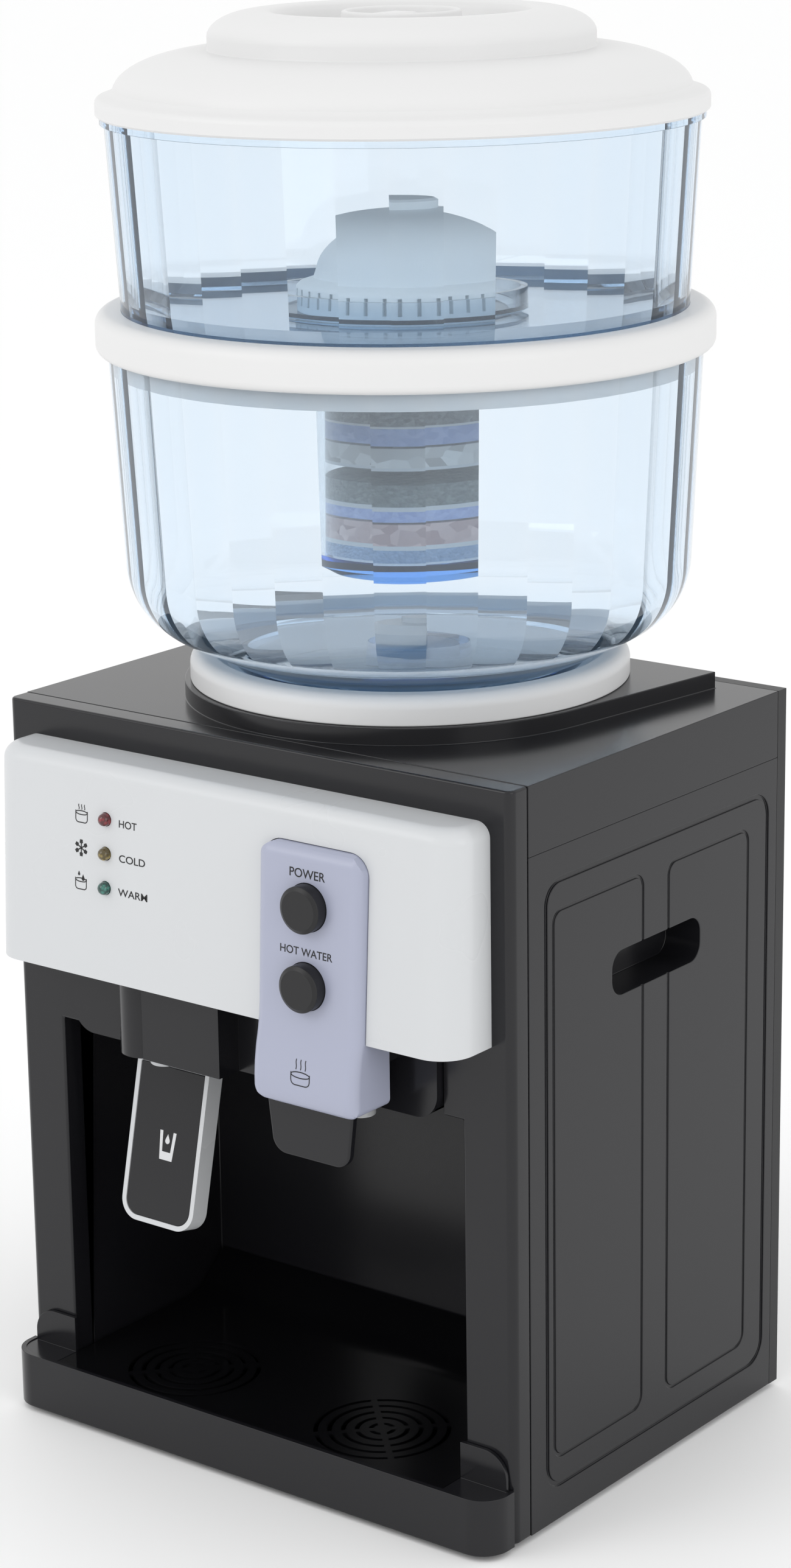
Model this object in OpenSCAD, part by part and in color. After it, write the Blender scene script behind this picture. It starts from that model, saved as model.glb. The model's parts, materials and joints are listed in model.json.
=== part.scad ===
// Countertop water dispenser: a cabinet with a hot tap and a cold tap,
// and a gravity filter tank that stands on a seat ring on its top.
// The body of each module is drawn in the cabinet's own frame: x = 0 is the
// middle, y = 0 is the face of the front frame and z = 0 is the underside.
// place() then moves the whole object so that it stands on z = 0 on its feet,
// centred under its bounding box.

/* [Cabinet] */
// Width of the cabinet
body_w = 290; // [280:1:360]
// Depth of the cabinet, without the tray lip
body_d = 219; // [215:1:280]
// Height of the cabinet, without its feet
body_h = 350; // [345:1:430]
// Wall of the moulded covers
wall = 2.5; // [2:0.5:3.5]
// Depth of the front frame
frame_t = 12.5; // [8:0.5:18]
// Height of the top cover's skirt
skirt_h = 32; // [20:1:45]
// Depth of the rear panel's flange
rear_flange = 7; // [5:0.5:10]
// Height of the rubber feet
foot_h = 3; // [2:0.5:8]
// Radius of the rubber feet
foot_r = 9; // [6:0.5:14]

/* [Dispensing niche] */
// Clear width of the niche
niche_w = 236; // [230:1:260]
// Depth of the niche behind the front face
niche_d = 110; // [100:1:118]
// Height of the niche ceiling above the underside
niche_top = 197; // [190:1:220]
// Distance of each tap from the middle
tap_x = 58; // [54:0.5:64]
// Depth of each tap behind the front face
tap_y = 4; // [2:0.5:8]

/* [Drip tray] */
// How far the tray lip stands out in front
lip_out = 19; // [14:0.5:30]
// Height of the tray lip
lip_h = 27; // [22:0.5:34]
// Radius of the lip's front corners
lip_r = 14; // [6:0.5:16]
// Height of the upstands under the pillars
upstand_h = 17; // [8:0.5:24]
// Outer radius of each drain ring pattern
drain_r = 32; // [24:0.5:38]
// Number of slots in each drain ring pattern
drain_slots = 5; // [3:1:6]

/* [Controls] */
// Width of the white control panel
panel_w = 268; // [250:1:280]
// Height of the panel's lower edge
panel_z0 = 234; // [232:1:240]
// Height of the panel's upper edge
panel_z1 = 335; // [330:1:340]
// How far the panel's upper edge stands out
panel_out = 24; // [18:0.5:30]
// Radius of the panel's vertical corners
panel_r = 16; // [8:0.5:18]
// Left edge of the control pod
pod_x0 = 30; // [29:0.5:32]
// Width of the control pod
pod_w = 58; // [58:0.5:62]
// Radius of the push buttons
button_r = 10.7; // [9:0.1:12]
// Travel of the push buttons
button_travel = 2.5; // [1.5:0.5:3]

/* [Filter tank] */
// Depth of the tank axis behind the front face
tank_y = 120; // [112:1:124]
// Outer radius of the middle ring
ring_r = 142; // [132:1:160]
// Height of the middle ring
ring_h = 19; // [14:1:24]
// Height of the lower tank above its foot
lower_h = 147; // [130:1:180]
// Height of the upper bowl above the middle ring
bowl_h = 87; // [70:1:120]
// Wall of the tank and of the bowl
tank_wall = 2.5; // [2:0.25:3.5]
// Radius of the filter cartridge
cartridge_r = 36; // [30:1:42]
// Radius of the ceramic dome
dome_r = 44; // [34:1:46]

/* [Hidden] */
$fn = 96;
half_w = body_w / 2;
cover_z = body_h - skirt_h;
rear_y = body_d - rear_flange;
rear_in = body_d - wall;
// gap between a moving piece and its neighbour
gap = 0.4;
// radial clearance of a pin in its hinge bore
pin_fit = 0.05;
pin_r = 2;
pillar_x = niche_w / 2;
// deck of the drip tray, just below the lip's rim
deck_z = lip_h - 0.5;
deck_x = pillar_x - 2;
// thickness of the floor plate
floor_t = 3;
// platform and seat ring on top of the cabinet
platform_h = 8;
platform_r = 105.5;
platform_rear_x = 118;
platform_rear_y = tank_y + 80;
platform_z = body_h + platform_h;
collar_r = 102.8;
collar_h = 13.5;
collar_bore = 88;
seat_z = platform_z + 7;
seat_r = 86;
foot_ring_r = 82;
// tank levels
tank_z = seat_z;
ring_z = tank_z + lower_h;
bowl_z = ring_z + ring_h;
rim_z = bowl_z + bowl_h;
lower_top_r = ring_r - 6;
lower_low_r = ring_r - 11;
bowl_low_r = ring_r - 12.5;
bowl_top_r = ring_r - 7.5;
lid_r = ring_r - 3.7;
lid_top = rim_z + 45;
// lower dome of the lid, and the step that stands on it
lid_dome_h = 28;
lid_step_r = lid_r - 51;
lid_step_z = rim_z + 34;
lid_recess_h = 12;
neck_r = 24;
// pod
pod_x1 = pod_x0 + pod_w;
pod_x = (pod_x0 + pod_x1) / 2;
pod_z0 = 201;
pod_z1 = 318;
pod_top_out = panel_out + 7;
pod_mid_out = panel_out + 11.5;
pod_low_out = panel_out + 16;
power_z = 292;
hot_button_z = 256.5;
// how far a push button stands out of the pod, and the back of its flange
button_out = 6.5;
button_back = -27.1;
switch_y = -14;
// tap housing
housing_x = 107;
housing_y = 50;
housing_z0 = 195;
housing_z1 = 236;
housing_out = 4;
valve_r = 11;
nozzle_r = 6.9;
// cold paddle
paddle_w = 44;
paddle_t = 10;
paddle_h = 78;
paddle_r = 10;
paddle_tilt = 12.6;
paddle_y = tap_y + 6;
paddle_z = housing_z0 - 11;
cold_pin_y = tap_y + 22;
cold_pin_z = housing_z0 + 12;
cold_stem_z = cold_pin_z + 12;
arm_half = 8;
// hot lever
lever_x = 57;
lever_y = -31;
lever_t = 4;
hot_pin_y = -20;
hot_pin_z = 226;
hot_stem_z = 208;
stem_r = 2.5;
// inner pieces
shelf_z = niche_top + wall;
shelf_t = 2;
cold_x0 = -111;
cold_x1 = 8;
cold_y0 = 72;
cold_y1 = 168;
foam_t = 10;
cold_z0 = shelf_z + shelf_t + foam_t;
cold_z1 = 320;
hot_x = 75;
hot_y = 125;
hot_r = 46;
hot_z0 = shelf_z + shelf_t;
hot_z1 = 312;
hose_z = 231;
hose_r = 5;
tec = 40;
tec_x = -67;
tec_z = 265;
tec_t = 4;
fan_side = 80;
fan_depth = 14;
fan_y = rear_y - fan_depth;
sink_y = cold_y1 + foam_t;
drain_x = 45;
drain_hose_y = 135;
drain_z = 24;
screw_xs = [8 - half_w, half_w - 8];
screw_zs = [40, 160, 290];
led_x = -63;
led_r = 3;
led_zs = [310, 294, 278];
board_y = -8;
front_out = max(pod_low_out, pod_face(hot_button_z) + button_out);
centre_y = (tank_y + ring_r - front_out) / 2;

// ---------- helpers ----------

// Everything is drawn in the cabinet's frame and moved here
module place() translate([0, -centre_y, foot_h]) children();

// A box given by its lower and upper corner
module span(a, b) translate(a) cube(b - a);

// A cylinder along +y, from y0 to y1
module rod_y(x, y0, y1, z, r) translate([x, y0, z]) rotate([-90, 0, 0]) cylinder(h = y1 - y0, r = r);

// A cylinder along +x, from x0 to x1
module rod_x(x0, x1, y, z, r) translate([x0, y, z]) rotate([0, 90, 0]) cylinder(h = x1 - x0, r = r);

// A cylinder along +z, from z0 to z1
module rod_z(x, y, z0, z1, r) translate([x, y, z0]) cylinder(h = z1 - z0, r = r);

// Rectangle from [x0, y0] to [x1, y1] whose corners are true arcs
module rounded(x0, y0, x1, y1, r) {
    translate([x0 + r, y0]) square([x1 - x0 - 2 * r, y1 - y0]);
    translate([x0, y0 + r]) square([x1 - x0, y1 - y0 - 2 * r]);
    for (x = [x0 + r, x1 - r], y = [y0 + r, y1 - r]) translate([x, y]) circle(r = r);
}

// Extrudes an outline drawn in (x, z) along +y, from y0 to y1
module along_y(y0, y1) translate([0, y1, 0]) rotate([90, 0, 0]) linear_extrude(y1 - y0) children();

// Extrudes an outline drawn in (y, z) along +x, from x0 to x1
module along_x(x0, x1) translate([x0, 0, 0]) rotate([90, 0, 90]) linear_extrude(x1 - x0) children();

// A turned piece on the tank's axis, from an outline of radius and height
module turned() translate([0, tank_y, 0]) rotate_extrude($fn = 144) children();

// Points on an arc, for outlines
function arc(cx, cy, r, a0, a1, n) = [for (i = [0:n])
    let (a = a0 + (a1 - a0) * i / n) [cx + r * cos(a), cy + r * sin(a)]];

// How far the control panel's sloping face stands out at height z
function panel_face(z) = panel_out + (panel_z1 - z) * tan(3.4);

// How far the control pod's face stands out at height z
function pod_face(z) = pod_top_out + (pod_z1 - z) * (pod_mid_out - pod_top_out) / (pod_z1 - panel_z0);

// ---------- cabinet ----------

// Bottom chassis that the inner pieces stand on
module base_pan() color([0.62, 0.64, 0.66]) place() difference() {
    union() {
        span([wall - half_w, frame_t, 0], [half_w - wall, rear_in, floor_t]);
        span([wall - half_w, niche_d + 2 * wall, floor_t], [half_w - wall, niche_d + 3 * wall, 20]);
    }
    for (x = [-80, -40, 40, 80]) along_y(niche_d, niche_d + 20) rounded(x - 14, 8, x + 14, 16, 3.9);
}

module feet() color([0.12, 0.12, 0.12]) place() {
    for (x = [-1, 1], y = [30, body_d - 24]) {
        rod_z(x * (half_w - 16), y, -foot_h, 0, foot_r);
    }
}

// The frame around the niche; the taps' housing passes through its upper notch
module front_frame() color([0.13, 0.13, 0.14]) place() difference() {
    linear_extrude(body_h) rounded(-half_w, 0, half_w, frame_t * 2, 4);
    span([-half_w - 1, frame_t, -1], [half_w + 1, frame_t * 2 + 1, body_h + 1]);
    span([-pillar_x, -1, floor_t], [pillar_x, frame_t + 1, niche_top]);
    span([-housing_x - gap, -1, niche_top - 1], [housing_x + gap, frame_t + 1, housing_z1 + gap]);
    span([-120, 3, housing_z1 + 12], [120, frame_t + 1, body_h - 15]);
    for (x = [-1, 1]) span([x * 131.5 - 11, 3, 6], [x * 131.5 + 11, frame_t + 1, 225]);
}

// Side walls, back wall and ceiling of the niche
module niche_liner() color([0.1, 0.1, 0.11]) place() difference() {
    span([-pillar_x - wall, frame_t, floor_t], [pillar_x + wall, niche_d + wall, shelf_z]);
    span([-pillar_x, frame_t - 1, floor_t - 1], [pillar_x, niche_d, niche_top]);
    span([-housing_x - gap, frame_t - 1, niche_top - 1], [housing_x + gap, housing_y + gap, shelf_z + 1]);
}

// One side panel, drawn on the +x side: skin, embossed grooves and hand grip
module side_panel() {
    y0 = frame_t;
    y1 = rear_y;
    difference() {
        union() {
            span([half_w - wall, y0, 0], [half_w, y1, cover_z]);
            span([half_w - 21, 74, 235], [half_w - wall, 149, 260]);
            for (z = screw_zs) {
                rod_y(half_w - 8, rear_y - 14, rear_in, z, 4);
                span([half_w - 8, rear_y - 14, z - 1.5], [half_w - wall, rear_y, z + 1.5]);
            }
        }
        for (z = screw_zs) rod_y(half_w - 8, rear_y - 8, rear_in + 1, z, 1.5);
        translate([half_w - 1, 0, 0]) groove_loop(y0 + 11.5, 16, y1 - 7, cover_z - 14, 12, 2.4);
        translate([half_w - 0.8, 0, 0]) groove_loop(30, 30, 101, cover_z - 28, 7, 1.6);
        translate([half_w - 0.8, 0, 0]) groove_loop(120, 30, 188, cover_z - 28, 7, 1.6);
        along_x(half_w - 19, half_w + 1) rounded(76, 237, 147, 258, 8);
    }
}

// A shallow groove that follows a rounded rectangle in (y, z)
module groove_loop(y0, z0, y1, z1, r, w) along_x(0, 3) difference() {
    rounded(y0, z0, y1, z1, r);
    rounded(y0 + w, z0 + w, y1 - w, z1 - w, r - w);
}

module side_panel_left() color([0.14, 0.14, 0.15]) place() mirror([1, 0, 0]) side_panel();

module side_panel_right() color([0.14, 0.14, 0.15]) place() side_panel();

// Rear panel with its flange, vents and openings
module rear_panel() color([0.15, 0.15, 0.16]) place() difference() {
    union() {
        span([-half_w, rear_in, 0], [half_w, body_d, body_h]);
        for (x = [-half_w, half_w - wall]) span([x, rear_y, 0], [x + wall, rear_in, body_h]);
        span([-half_w, rear_y, body_h - wall], [half_w, rear_in, body_h]);
    }
    for (i = [0:8]) vent(tec_x - 34, tec_x + 34, tec_z - 33 + 8 * i);
    for (i = [0:5]) vent(-110, -30, 40 + 10 * i);
    for (x = [45, 75]) span([x - 6.7, rear_in - 1, 140.3], [x + 6.7, body_d + 1, 159.7]);
    span([95.2, rear_in - 1, 30.2], [118.8, body_d + 1, 46.8]);
    rod_y(drain_x, rear_in - 1, body_d + 1, drain_z, 8);
    for (x = screw_xs, z = screw_zs) rod_y(x, rear_in - 1, body_d + 1, z, 1.7);
}

// One rounded vent slot
module vent(x0, x1, z) along_y(rear_in - 1, body_d + 1) rounded(x0, z - 2, x1, z + 2, 1.9);

// Outline of the raised platform: a circle that widens towards the rear corners
module platform_outline(inset) {
    r = platform_r - inset;
    px = platform_rear_x - inset;
    py = platform_rear_y - inset - tank_y;
    // the side is the tangent from the rear corner to the circle
    a = atan2(py, px) - acos(r / sqrt(px * px + py * py));
    tx = r * cos(a);
    ty = r * sin(a);
    translate([0, tank_y]) intersection() {
        union() {
            circle(r = r);
            polygon([[tx, ty], [px, py], [-px, py], [-tx, ty]]);
        }
        translate([-px, -r]) square([2 * px, r + rear_y - gap - inset - tank_y]);
    }
}

module top_cover() color([0.14, 0.14, 0.15]) place() difference() {
    union() {
        span([-half_w, frame_t, cover_z], [half_w, rear_y, body_h]);
        translate([0, 0, body_h - 1]) linear_extrude(platform_h + 1) platform_outline(0);
    }
    span([wall - half_w, frame_t - 1, cover_z - 1], [half_w - wall, rear_y + 1, body_h - wall]);
    translate([0, 0, body_h - wall - 1]) linear_extrude(platform_h + 1) platform_outline(wall);
    rod_z(0, tank_y, body_h, platform_z + 1, collar_bore);
}

// ---------- controls ----------

// Solid wedge of the control panel, smaller by inset all round
module panel_block(inset) intersection() {
    translate([0, -panel_out, panel_z1]) rotate([3.4, 0, 0]) translate([0, 0, -150]) linear_extrude(200) {
        rounded(inset - panel_w / 2, inset, panel_w / 2 - inset, 60, panel_r - inset);
    }
    span([-panel_w, -60, panel_z0 + inset], [panel_w, 0, panel_z1 - inset]);
}

module control_panel() color([0.91, 0.91, 0.92]) place() difference() {
    panel_block(0);
    translate([0, 0.01, 0]) panel_block(wall);
    span([pod_x0 - 0.3, -60, panel_z0 - 1], [pod_x1 + 0.3, 1, pod_z1 + 0.3]);
    for (z = led_zs) rod_y(led_x, -60, -12, z, led_r + 0.05);
}

// Board behind the panel with its stand-offs
module display_board() color([0.1, 0.4, 0.2]) place() {
    difference() {
        span([-105, board_y, 245], [5, board_y + 1.6, 325]);
        for (x = [-100, 0], z = [250, 320]) rod_y(x, board_y - 1, board_y + 2, z, 1.6);
    }
    for (x = [-100, 0], z = [250, 320]) rod_y(x, board_y + 1.6, 0, z, 3);
    for (x = [-40, -20]) span([x, board_y - 4, 260], [x + 12, board_y, 272]);
}

module led(z) place() union() {
    rod_y(led_x, -panel_face(z) - 0.5, board_y, z, led_r);
    rod_y(led_x, board_y - 8, board_y, z, led_r + 1.2);
}

module led_red() color([0.85, 0.1, 0.08]) led(led_zs[0]);

module led_amber() color([0.95, 0.6, 0.1]) led(led_zs[1]);

module led_green() color([0.2, 0.7, 0.2]) led(led_zs[2]);

// Side outline of the pod, smaller by t at the front, the top and the bottom
module pod_outline(t, back) polygon([
    [back, pod_z1 - t], [t - pod_top_out + 3, pod_z1 - t], [t - pod_top_out, pod_z1 - t - 3],
    [t - pod_mid_out, panel_z0], [t - pod_low_out, pod_z0 + t + 4], [t - pod_low_out + 4, pod_z0 + t],
    [-31.5, pod_z0 + t], [-31.5, panel_z0 - 0.5], [back, panel_z0 - 0.5]]);

module control_pod() color([0.69, 0.7, 0.76]) place() difference() {
    union() {
        along_x(pod_x0, pod_x1) pod_outline(0, 0);
        // cheek beside the hot lever's hinge
        span([pod_x1 - wall, -31.6, pod_z0], [pod_x1, -13, panel_z0 - 0.5]);
    }
    along_x(pod_x0 + wall, pod_x1 - wall) pod_outline(wall, 1);
    for (z = [power_z, hot_button_z]) rod_y(pod_x, -60, -26, z, button_r + 0.1);
}

module switch_board() color([0.1, 0.4, 0.2]) place() {
    span([pod_x0 + wall + gap, switch_y, 245], [pod_x1 - wall - gap, switch_y + 1.6, 309]);
    for (x = [pod_x0 + 8, pod_x1 - 8], z = [250, 304]) rod_y(x, switch_y + 1.6, 0, z, 3);
}

// A push button: its cap, and the flange that keeps it in the pod
module button(z) place() union() {
    rod_y(pod_x, -pod_face(z) - button_out, button_back, z, button_r);
    rod_y(pod_x, button_back - 1.5, button_back, z, button_r + 1.8);
}

module power_button() color([0.08, 0.08, 0.09]) button(power_z);

module hot_water_button() color([0.08, 0.08, 0.09]) button(hot_button_z);

// Silicone domes that push the buttons back
module button_domes() color([0.85, 0.85, 0.8]) place() {
    for (z = [power_z, hot_button_z]) translate([pod_x, switch_y, z]) rotate([90, 0, 0]) rotate_extrude() {
        polygon([[0, 0], [8, 0], [8, 1.5], [5, 9.5], [0, 9.5], [0, 8], [3.8, 8], [6.4, 1.5], [0, 1.5]]);
    }
}

// ---------- taps ----------

// Black housing of both taps, open at its top
module tap_housing() color([0.09, 0.09, 0.1]) place() difference() {
    union() {
        along_y(-housing_out, housing_y) {
            rounded(-housing_x, housing_z0, housing_x, housing_z1 + 20, 12);
        }
        rod_z(-tap_x - 1, -6, housing_z0, housing_z1, 13);
        rod_z(tap_x, tap_y, housing_z0, housing_z1, 15);
        span([-52, -18, housing_z0], [-6, 0, panel_z0 - 1]);
        // cheeks of the hot lever's hinge
        for (x = [lever_x - 28, lever_x + 22])
            span([x, hot_pin_y - 5, hot_pin_z - 6], [x + 6, 0, hot_pin_z + 6]);
    }
    span([-housing_x - 1, -30, panel_z0 - 0.5], [housing_x + 1, 0, 300]);
    span([-housing_x - 1, -30, housing_z1], [housing_x + 1, housing_y + 1, 300]);
    difference() {
        span([wall - housing_x, wall - housing_out, housing_z0 + wall],
            [housing_x - wall, housing_y - wall, body_h]);
        // cheeks of the cold paddle's hinge
        for (x = [-tap_x - 16, -tap_x + 9.5]) {
            span([x, cold_pin_y - 6, housing_z0], [x + 6.5, cold_pin_y + 6, cold_pin_z + 6]);
        }
    }
    for (x = [-tap_x, tap_x]) {
        rod_z(x, tap_y, housing_z0 + wall, 300, valve_r + 0.5);
        rod_z(x, tap_y, housing_z0 - 1, 300, nozzle_r + 0.1);
        span([x - 6, housing_y - wall - 1, hose_z - 6], [x + 6, housing_y + 1, 300]);
    }
    span([-tap_x - 9, cold_pin_y - 8, housing_z0 - 1], [-tap_x + 9, cold_pin_y + 11, housing_z0 + wall + 1]);
    rod_x(-tap_x - 17, -tap_x + 17, cold_pin_y, cold_pin_z, pin_r);
    rod_x(lever_x - 29, lever_x + 29, hot_pin_y, hot_pin_z, pin_r);
    rod_y(tap_x, -30, tap_y, hot_stem_z, stem_r + 0.4);
}

// Valve body with the port for its hose and the bore for its stem
module valve(x, stem_z, stem_y0, stem_y1) difference() {
    union() {
        rod_z(x, tap_y, housing_z0 + wall, panel_z0 - 1, valve_r);
        rod_y(x, tap_y, tap_y + 13, hose_z, hose_r);
    }
    rod_z(x, tap_y, housing_z0, hose_z - 3, 4);
    rod_y(x, stem_y0, stem_y1, stem_z, stem_r + 0.1);
}

module cold_valve() color([0.9, 0.9, 0.9]) place() valve(-tap_x, cold_stem_z, tap_y - 4, tap_y + 20);

module hot_valve() color([0.9, 0.9, 0.9]) place() valve(tap_x, hot_stem_z, tap_y - 20, tap_y + 6);

// Spout of a tap
module nozzle(x) difference() {
    rod_z(x, tap_y, housing_z0 - 9, housing_z0 + wall, nozzle_r);
    rod_z(x, tap_y, housing_z0 - 10, housing_z0 + wall + 1, 4);
}

module tap_nozzles() color([0.95, 0.95, 0.95]) place() {
    nozzle(-tap_x);
    nozzle(tap_x);
}

// Pins of the cold paddle and of the hot lever
module hinge_pins() color([0.75, 0.75, 0.76]) place() {
    rod_x(-tap_x - 16, -tap_x + 16, cold_pin_y, cold_pin_z, pin_r);
    rod_x(lever_x - 28, lever_x + 28, hot_pin_y, hot_pin_z, pin_r);
}

// Front outline of the cold paddle, smaller by inset, hanging down from z = 0
module paddle_outline(inset) {
    w = paddle_w / 2 - inset;
    r = paddle_r - inset;
    translate([-w, -paddle_h + inset + r]) square([2 * w, paddle_h - 2 * inset - r]);
    translate([-w + r, -paddle_h + inset]) square([2 * w - 2 * r, 2 * r]);
    for (x = [-w + r, w - r]) translate([x, -paddle_h + inset + r]) circle(r = r);
}

// Moves a piece drawn upright to the paddle's own lean
module on_paddle() translate([-tap_x, paddle_y, paddle_z]) rotate([-paddle_tilt, 0, 0]) children();

// White lever of the cold tap, pushed back by the cup
module cold_paddle() color([0.93, 0.93, 0.94]) place() difference() {
    union() {
        on_paddle() along_y(0, paddle_t) paddle_outline(0);
        along_x(-tap_x - arm_half, -tap_x + arm_half) polygon([
            [paddle_y + 4, paddle_z - 2], [paddle_y + 4, paddle_z - 20], [cold_pin_y - 6, paddle_z - 19],
            [cold_pin_y + 6, cold_pin_z - 10], [cold_pin_y + 6, cold_stem_z + 5],
            [cold_pin_y - 1.6, cold_stem_z + 5], [cold_pin_y - 1.6, cold_pin_z + 5],
            [cold_pin_y - 6, cold_pin_z - 2], [cold_pin_y - 6, paddle_z + 2]]);
    }
    on_paddle() along_y(-1, 2.5) paddle_outline(2.4);
    rod_x(-tap_x - 20, -tap_x + 20, cold_pin_y, cold_pin_z, pin_r + pin_fit);
}

// Black plate set into the front of the paddle
module cold_paddle_face() color([0.08, 0.08, 0.09]) place() on_paddle() along_y(0.2, 2.5) paddle_outline(2.5);

module cold_valve_stem() color([0.8, 0.8, 0.8]) place()
    rod_y(-tap_x, tap_y + 4, cold_pin_y - 2, cold_stem_z, stem_r);

// Outline of the hot lever's plate in (x, z)
module lever_outline() {
    z0 = 174;
    r = 8;
    polygon([[lever_x - 26, 214], [lever_x + 26, 214], [lever_x + 22, z0 + r], [lever_x + 22 - r, z0],
        [lever_x - 22 + r, z0], [lever_x - 22, z0 + r]]);
    for (x = [lever_x - 22 + r, lever_x + 22 - r]) translate([x, z0 + r]) circle(r = r);
}

module hot_lever() color([0.08, 0.08, 0.09]) place() difference() {
    union() {
        along_y(lever_y, lever_y + lever_t) lever_outline();
        along_x(lever_x - 21, lever_x + 21) polygon([[lever_y, 205], [lever_y + lever_t, 205],
            [lever_y + lever_t, 214], [hot_pin_y + 3, hot_pin_z - 4], [hot_pin_y, hot_pin_z + 5],
            [hot_pin_y - 4, hot_pin_z + 3], [lever_y, 217]]);
        rod_x(lever_x - 21, lever_x + 21, hot_pin_y, hot_pin_z, 5);
    }
    rod_x(lever_x - 30, lever_x + 30, hot_pin_y, hot_pin_z, pin_r + pin_fit);
}

module hot_valve_stem() color([0.8, 0.8, 0.8]) place()
    rod_y(tap_x, lever_y + lever_t + gap, tap_y - 6, hot_stem_z, stem_r);

// ---------- drip tray ----------

// Plan outline of the tray lip, smaller by inset
module lip_outline(inset) intersection() {
    rounded(inset - half_w, inset - lip_out, half_w - inset, 40, lip_r - inset);
    translate([-half_w, -lip_out]) square([body_w, lip_out - gap]);
}

// Lip and basin in one moulding, which slides out to the front
module drip_tray() color([0.13, 0.13, 0.14]) place() {
    difference() {
        union() {
            linear_extrude(lip_h) lip_outline(0);
            span([gap * 3 - pillar_x, -gap - 1, floor_t + gap],
                [pillar_x - gap * 3, niche_d - 2, lip_h - wall]);
        }
        translate([0, 0, deck_z]) linear_extrude(wall) lip_outline(wall);
        // seat of the deck, over the basin
        span([-deck_x - gap, wall - lip_out, lip_h - wall], [deck_x + gap, niche_d, lip_h + 1]);
        span([4 - pillar_x, wall - lip_out, floor_t + gap + wall],
            [pillar_x - 4, niche_d - 2 - wall, lip_h + 1]);
    }
    for (x = [0, 1]) mirror([x, 0, 0]) tray_upstand();
}

// Upstand in front of the right pillar, with a rounded outer corner
module tray_upstand() along_y(-gap - 2, -gap) intersection() {
    rounded(pillar_x - 40, lip_h - 30, half_w - 3, lip_h + upstand_h, 12);
    translate([deck_x + gap, lip_h - wall]) square([half_w, upstand_h + wall]);
}

// Ring-shaped drain slots with four bridges, to be cut away
module drain_rings(x) translate([x, 17, lip_h - wall - 1]) difference() {
    for (i = [1:drain_slots]) {
        r = drain_r * i / drain_slots;
        difference() {
            cylinder(h = wall + 4, r = r);
            translate([0, 0, -1]) cylinder(h = wall + 6, r = r - 2.2);
        }
    }
    for (a = [45, 135]) rotate([0, 0, a]) translate([-40, -1.5, -2]) cube([80, 3, 12]);
}

// Deck over the basin, which lifts off; its rear edge sweeps up
module tray_deck() color([0.06, 0.06, 0.07]) place() difference() {
    union() {
        span([-deck_x, wall + gap - lip_out, lip_h - wall], [deck_x, niche_d - 32, deck_z]);
        along_x(-deck_x, deck_x) polygon(concat(
            [[niche_d - 34, deck_z], [niche_d - 34, lip_h - wall], [niche_d - 1, lip_h - wall],
            [niche_d - 1, lip_h + upstand_h]],
            arc(niche_d - 32, deck_z + 32, 32, 300, 270, 8)));
    }
    drain_rings(-tap_x + 1);
    drain_rings(tap_x - 1);
}

// ---------- seat for the tank ----------

// White ring on the platform that carries the tank
module seat_collar() color([0.93, 0.93, 0.94]) place() turned() {
    polygon(concat(
        [[foot_ring_r - 12, platform_z - 12], [collar_bore - 0.3, platform_z - 12],
        [collar_bore - 0.3, platform_z], [collar_r, platform_z]],
        arc(collar_r - 6, platform_z + collar_h - 6, 6, 0, 90, 8),
        [[seat_r + 6, platform_z + collar_h], [seat_r, seat_z + 2], [seat_r, seat_z],
        [foot_ring_r - 12, seat_z]]));
}

// Funnel under the tank, with a hollow feed probe that opens the tank's valve
module seat_funnel() color([0.88, 0.89, 0.9]) place() difference() {
    r = foot_ring_r - 12;
    turned() polygon([[0, platform_z - 6.4], [6, platform_z - 6.4], [6, platform_z - 22], [7, platform_z - 23],
        [12, platform_z - 23], [r - 6, platform_z - 14], [r - 6, platform_z - 9.5], [r, platform_z - 9.5],
        [r, platform_z - 12], [r + 6, platform_z - 12], [r + 6, platform_z - 14.5], [r - 4, platform_z - 17],
        [12, platform_z - 26], [8, platform_z - 26], [8, cold_z1 + 2], [4, cold_z1 + 2],
        [4, platform_z - 10], [0, platform_z - 10]]);
    // cross holes that let the water into the probe
    rod_x(-10, 10, tank_y, platform_z - 18, 2);
    rod_y(0, tank_y - 10, tank_y + 10, platform_z - 18, 2);
}

// ---------- inner pieces ----------

module tank_shelf() color([0.7, 0.71, 0.72]) place() difference() {
    span([wall - half_w, housing_y + 2, shelf_z], [half_w - wall, rear_y - 4, shelf_z + shelf_t]);
    for (x = [-130, 130], y = [70, 180]) rod_z(x, y, shelf_z - 1, shelf_z + 3, 2.2);
    rod_z(drain_x, drain_hose_y, shelf_z - 1, shelf_z + 3, hose_r);
}

module cold_tank() color([0.8, 0.81, 0.83]) place() difference() {
    union() {
        translate([0, 0, cold_z0]) linear_extrude(cold_z1 - cold_z0)
            rounded(cold_x0, cold_y0, cold_x1, cold_y1, 8);
        rod_z(0, tank_y, cold_z1 - 1, cold_z1 + 6, 12);
    }
    translate([0, 0, cold_z0 + 1]) linear_extrude(cold_z1 - cold_z0 - 2) {
        rounded(cold_x0 + 1, cold_y0 + 1, cold_x1 - 1, cold_y1 - 1, 7);
    }
    rod_z(0, tank_y, cold_z1 - 10, cold_z1 + 10, 8.2);
    rod_y(-tap_x, cold_y0 - 1, cold_y0 + 5, hose_z, hose_r - 1.5);
}

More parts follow.
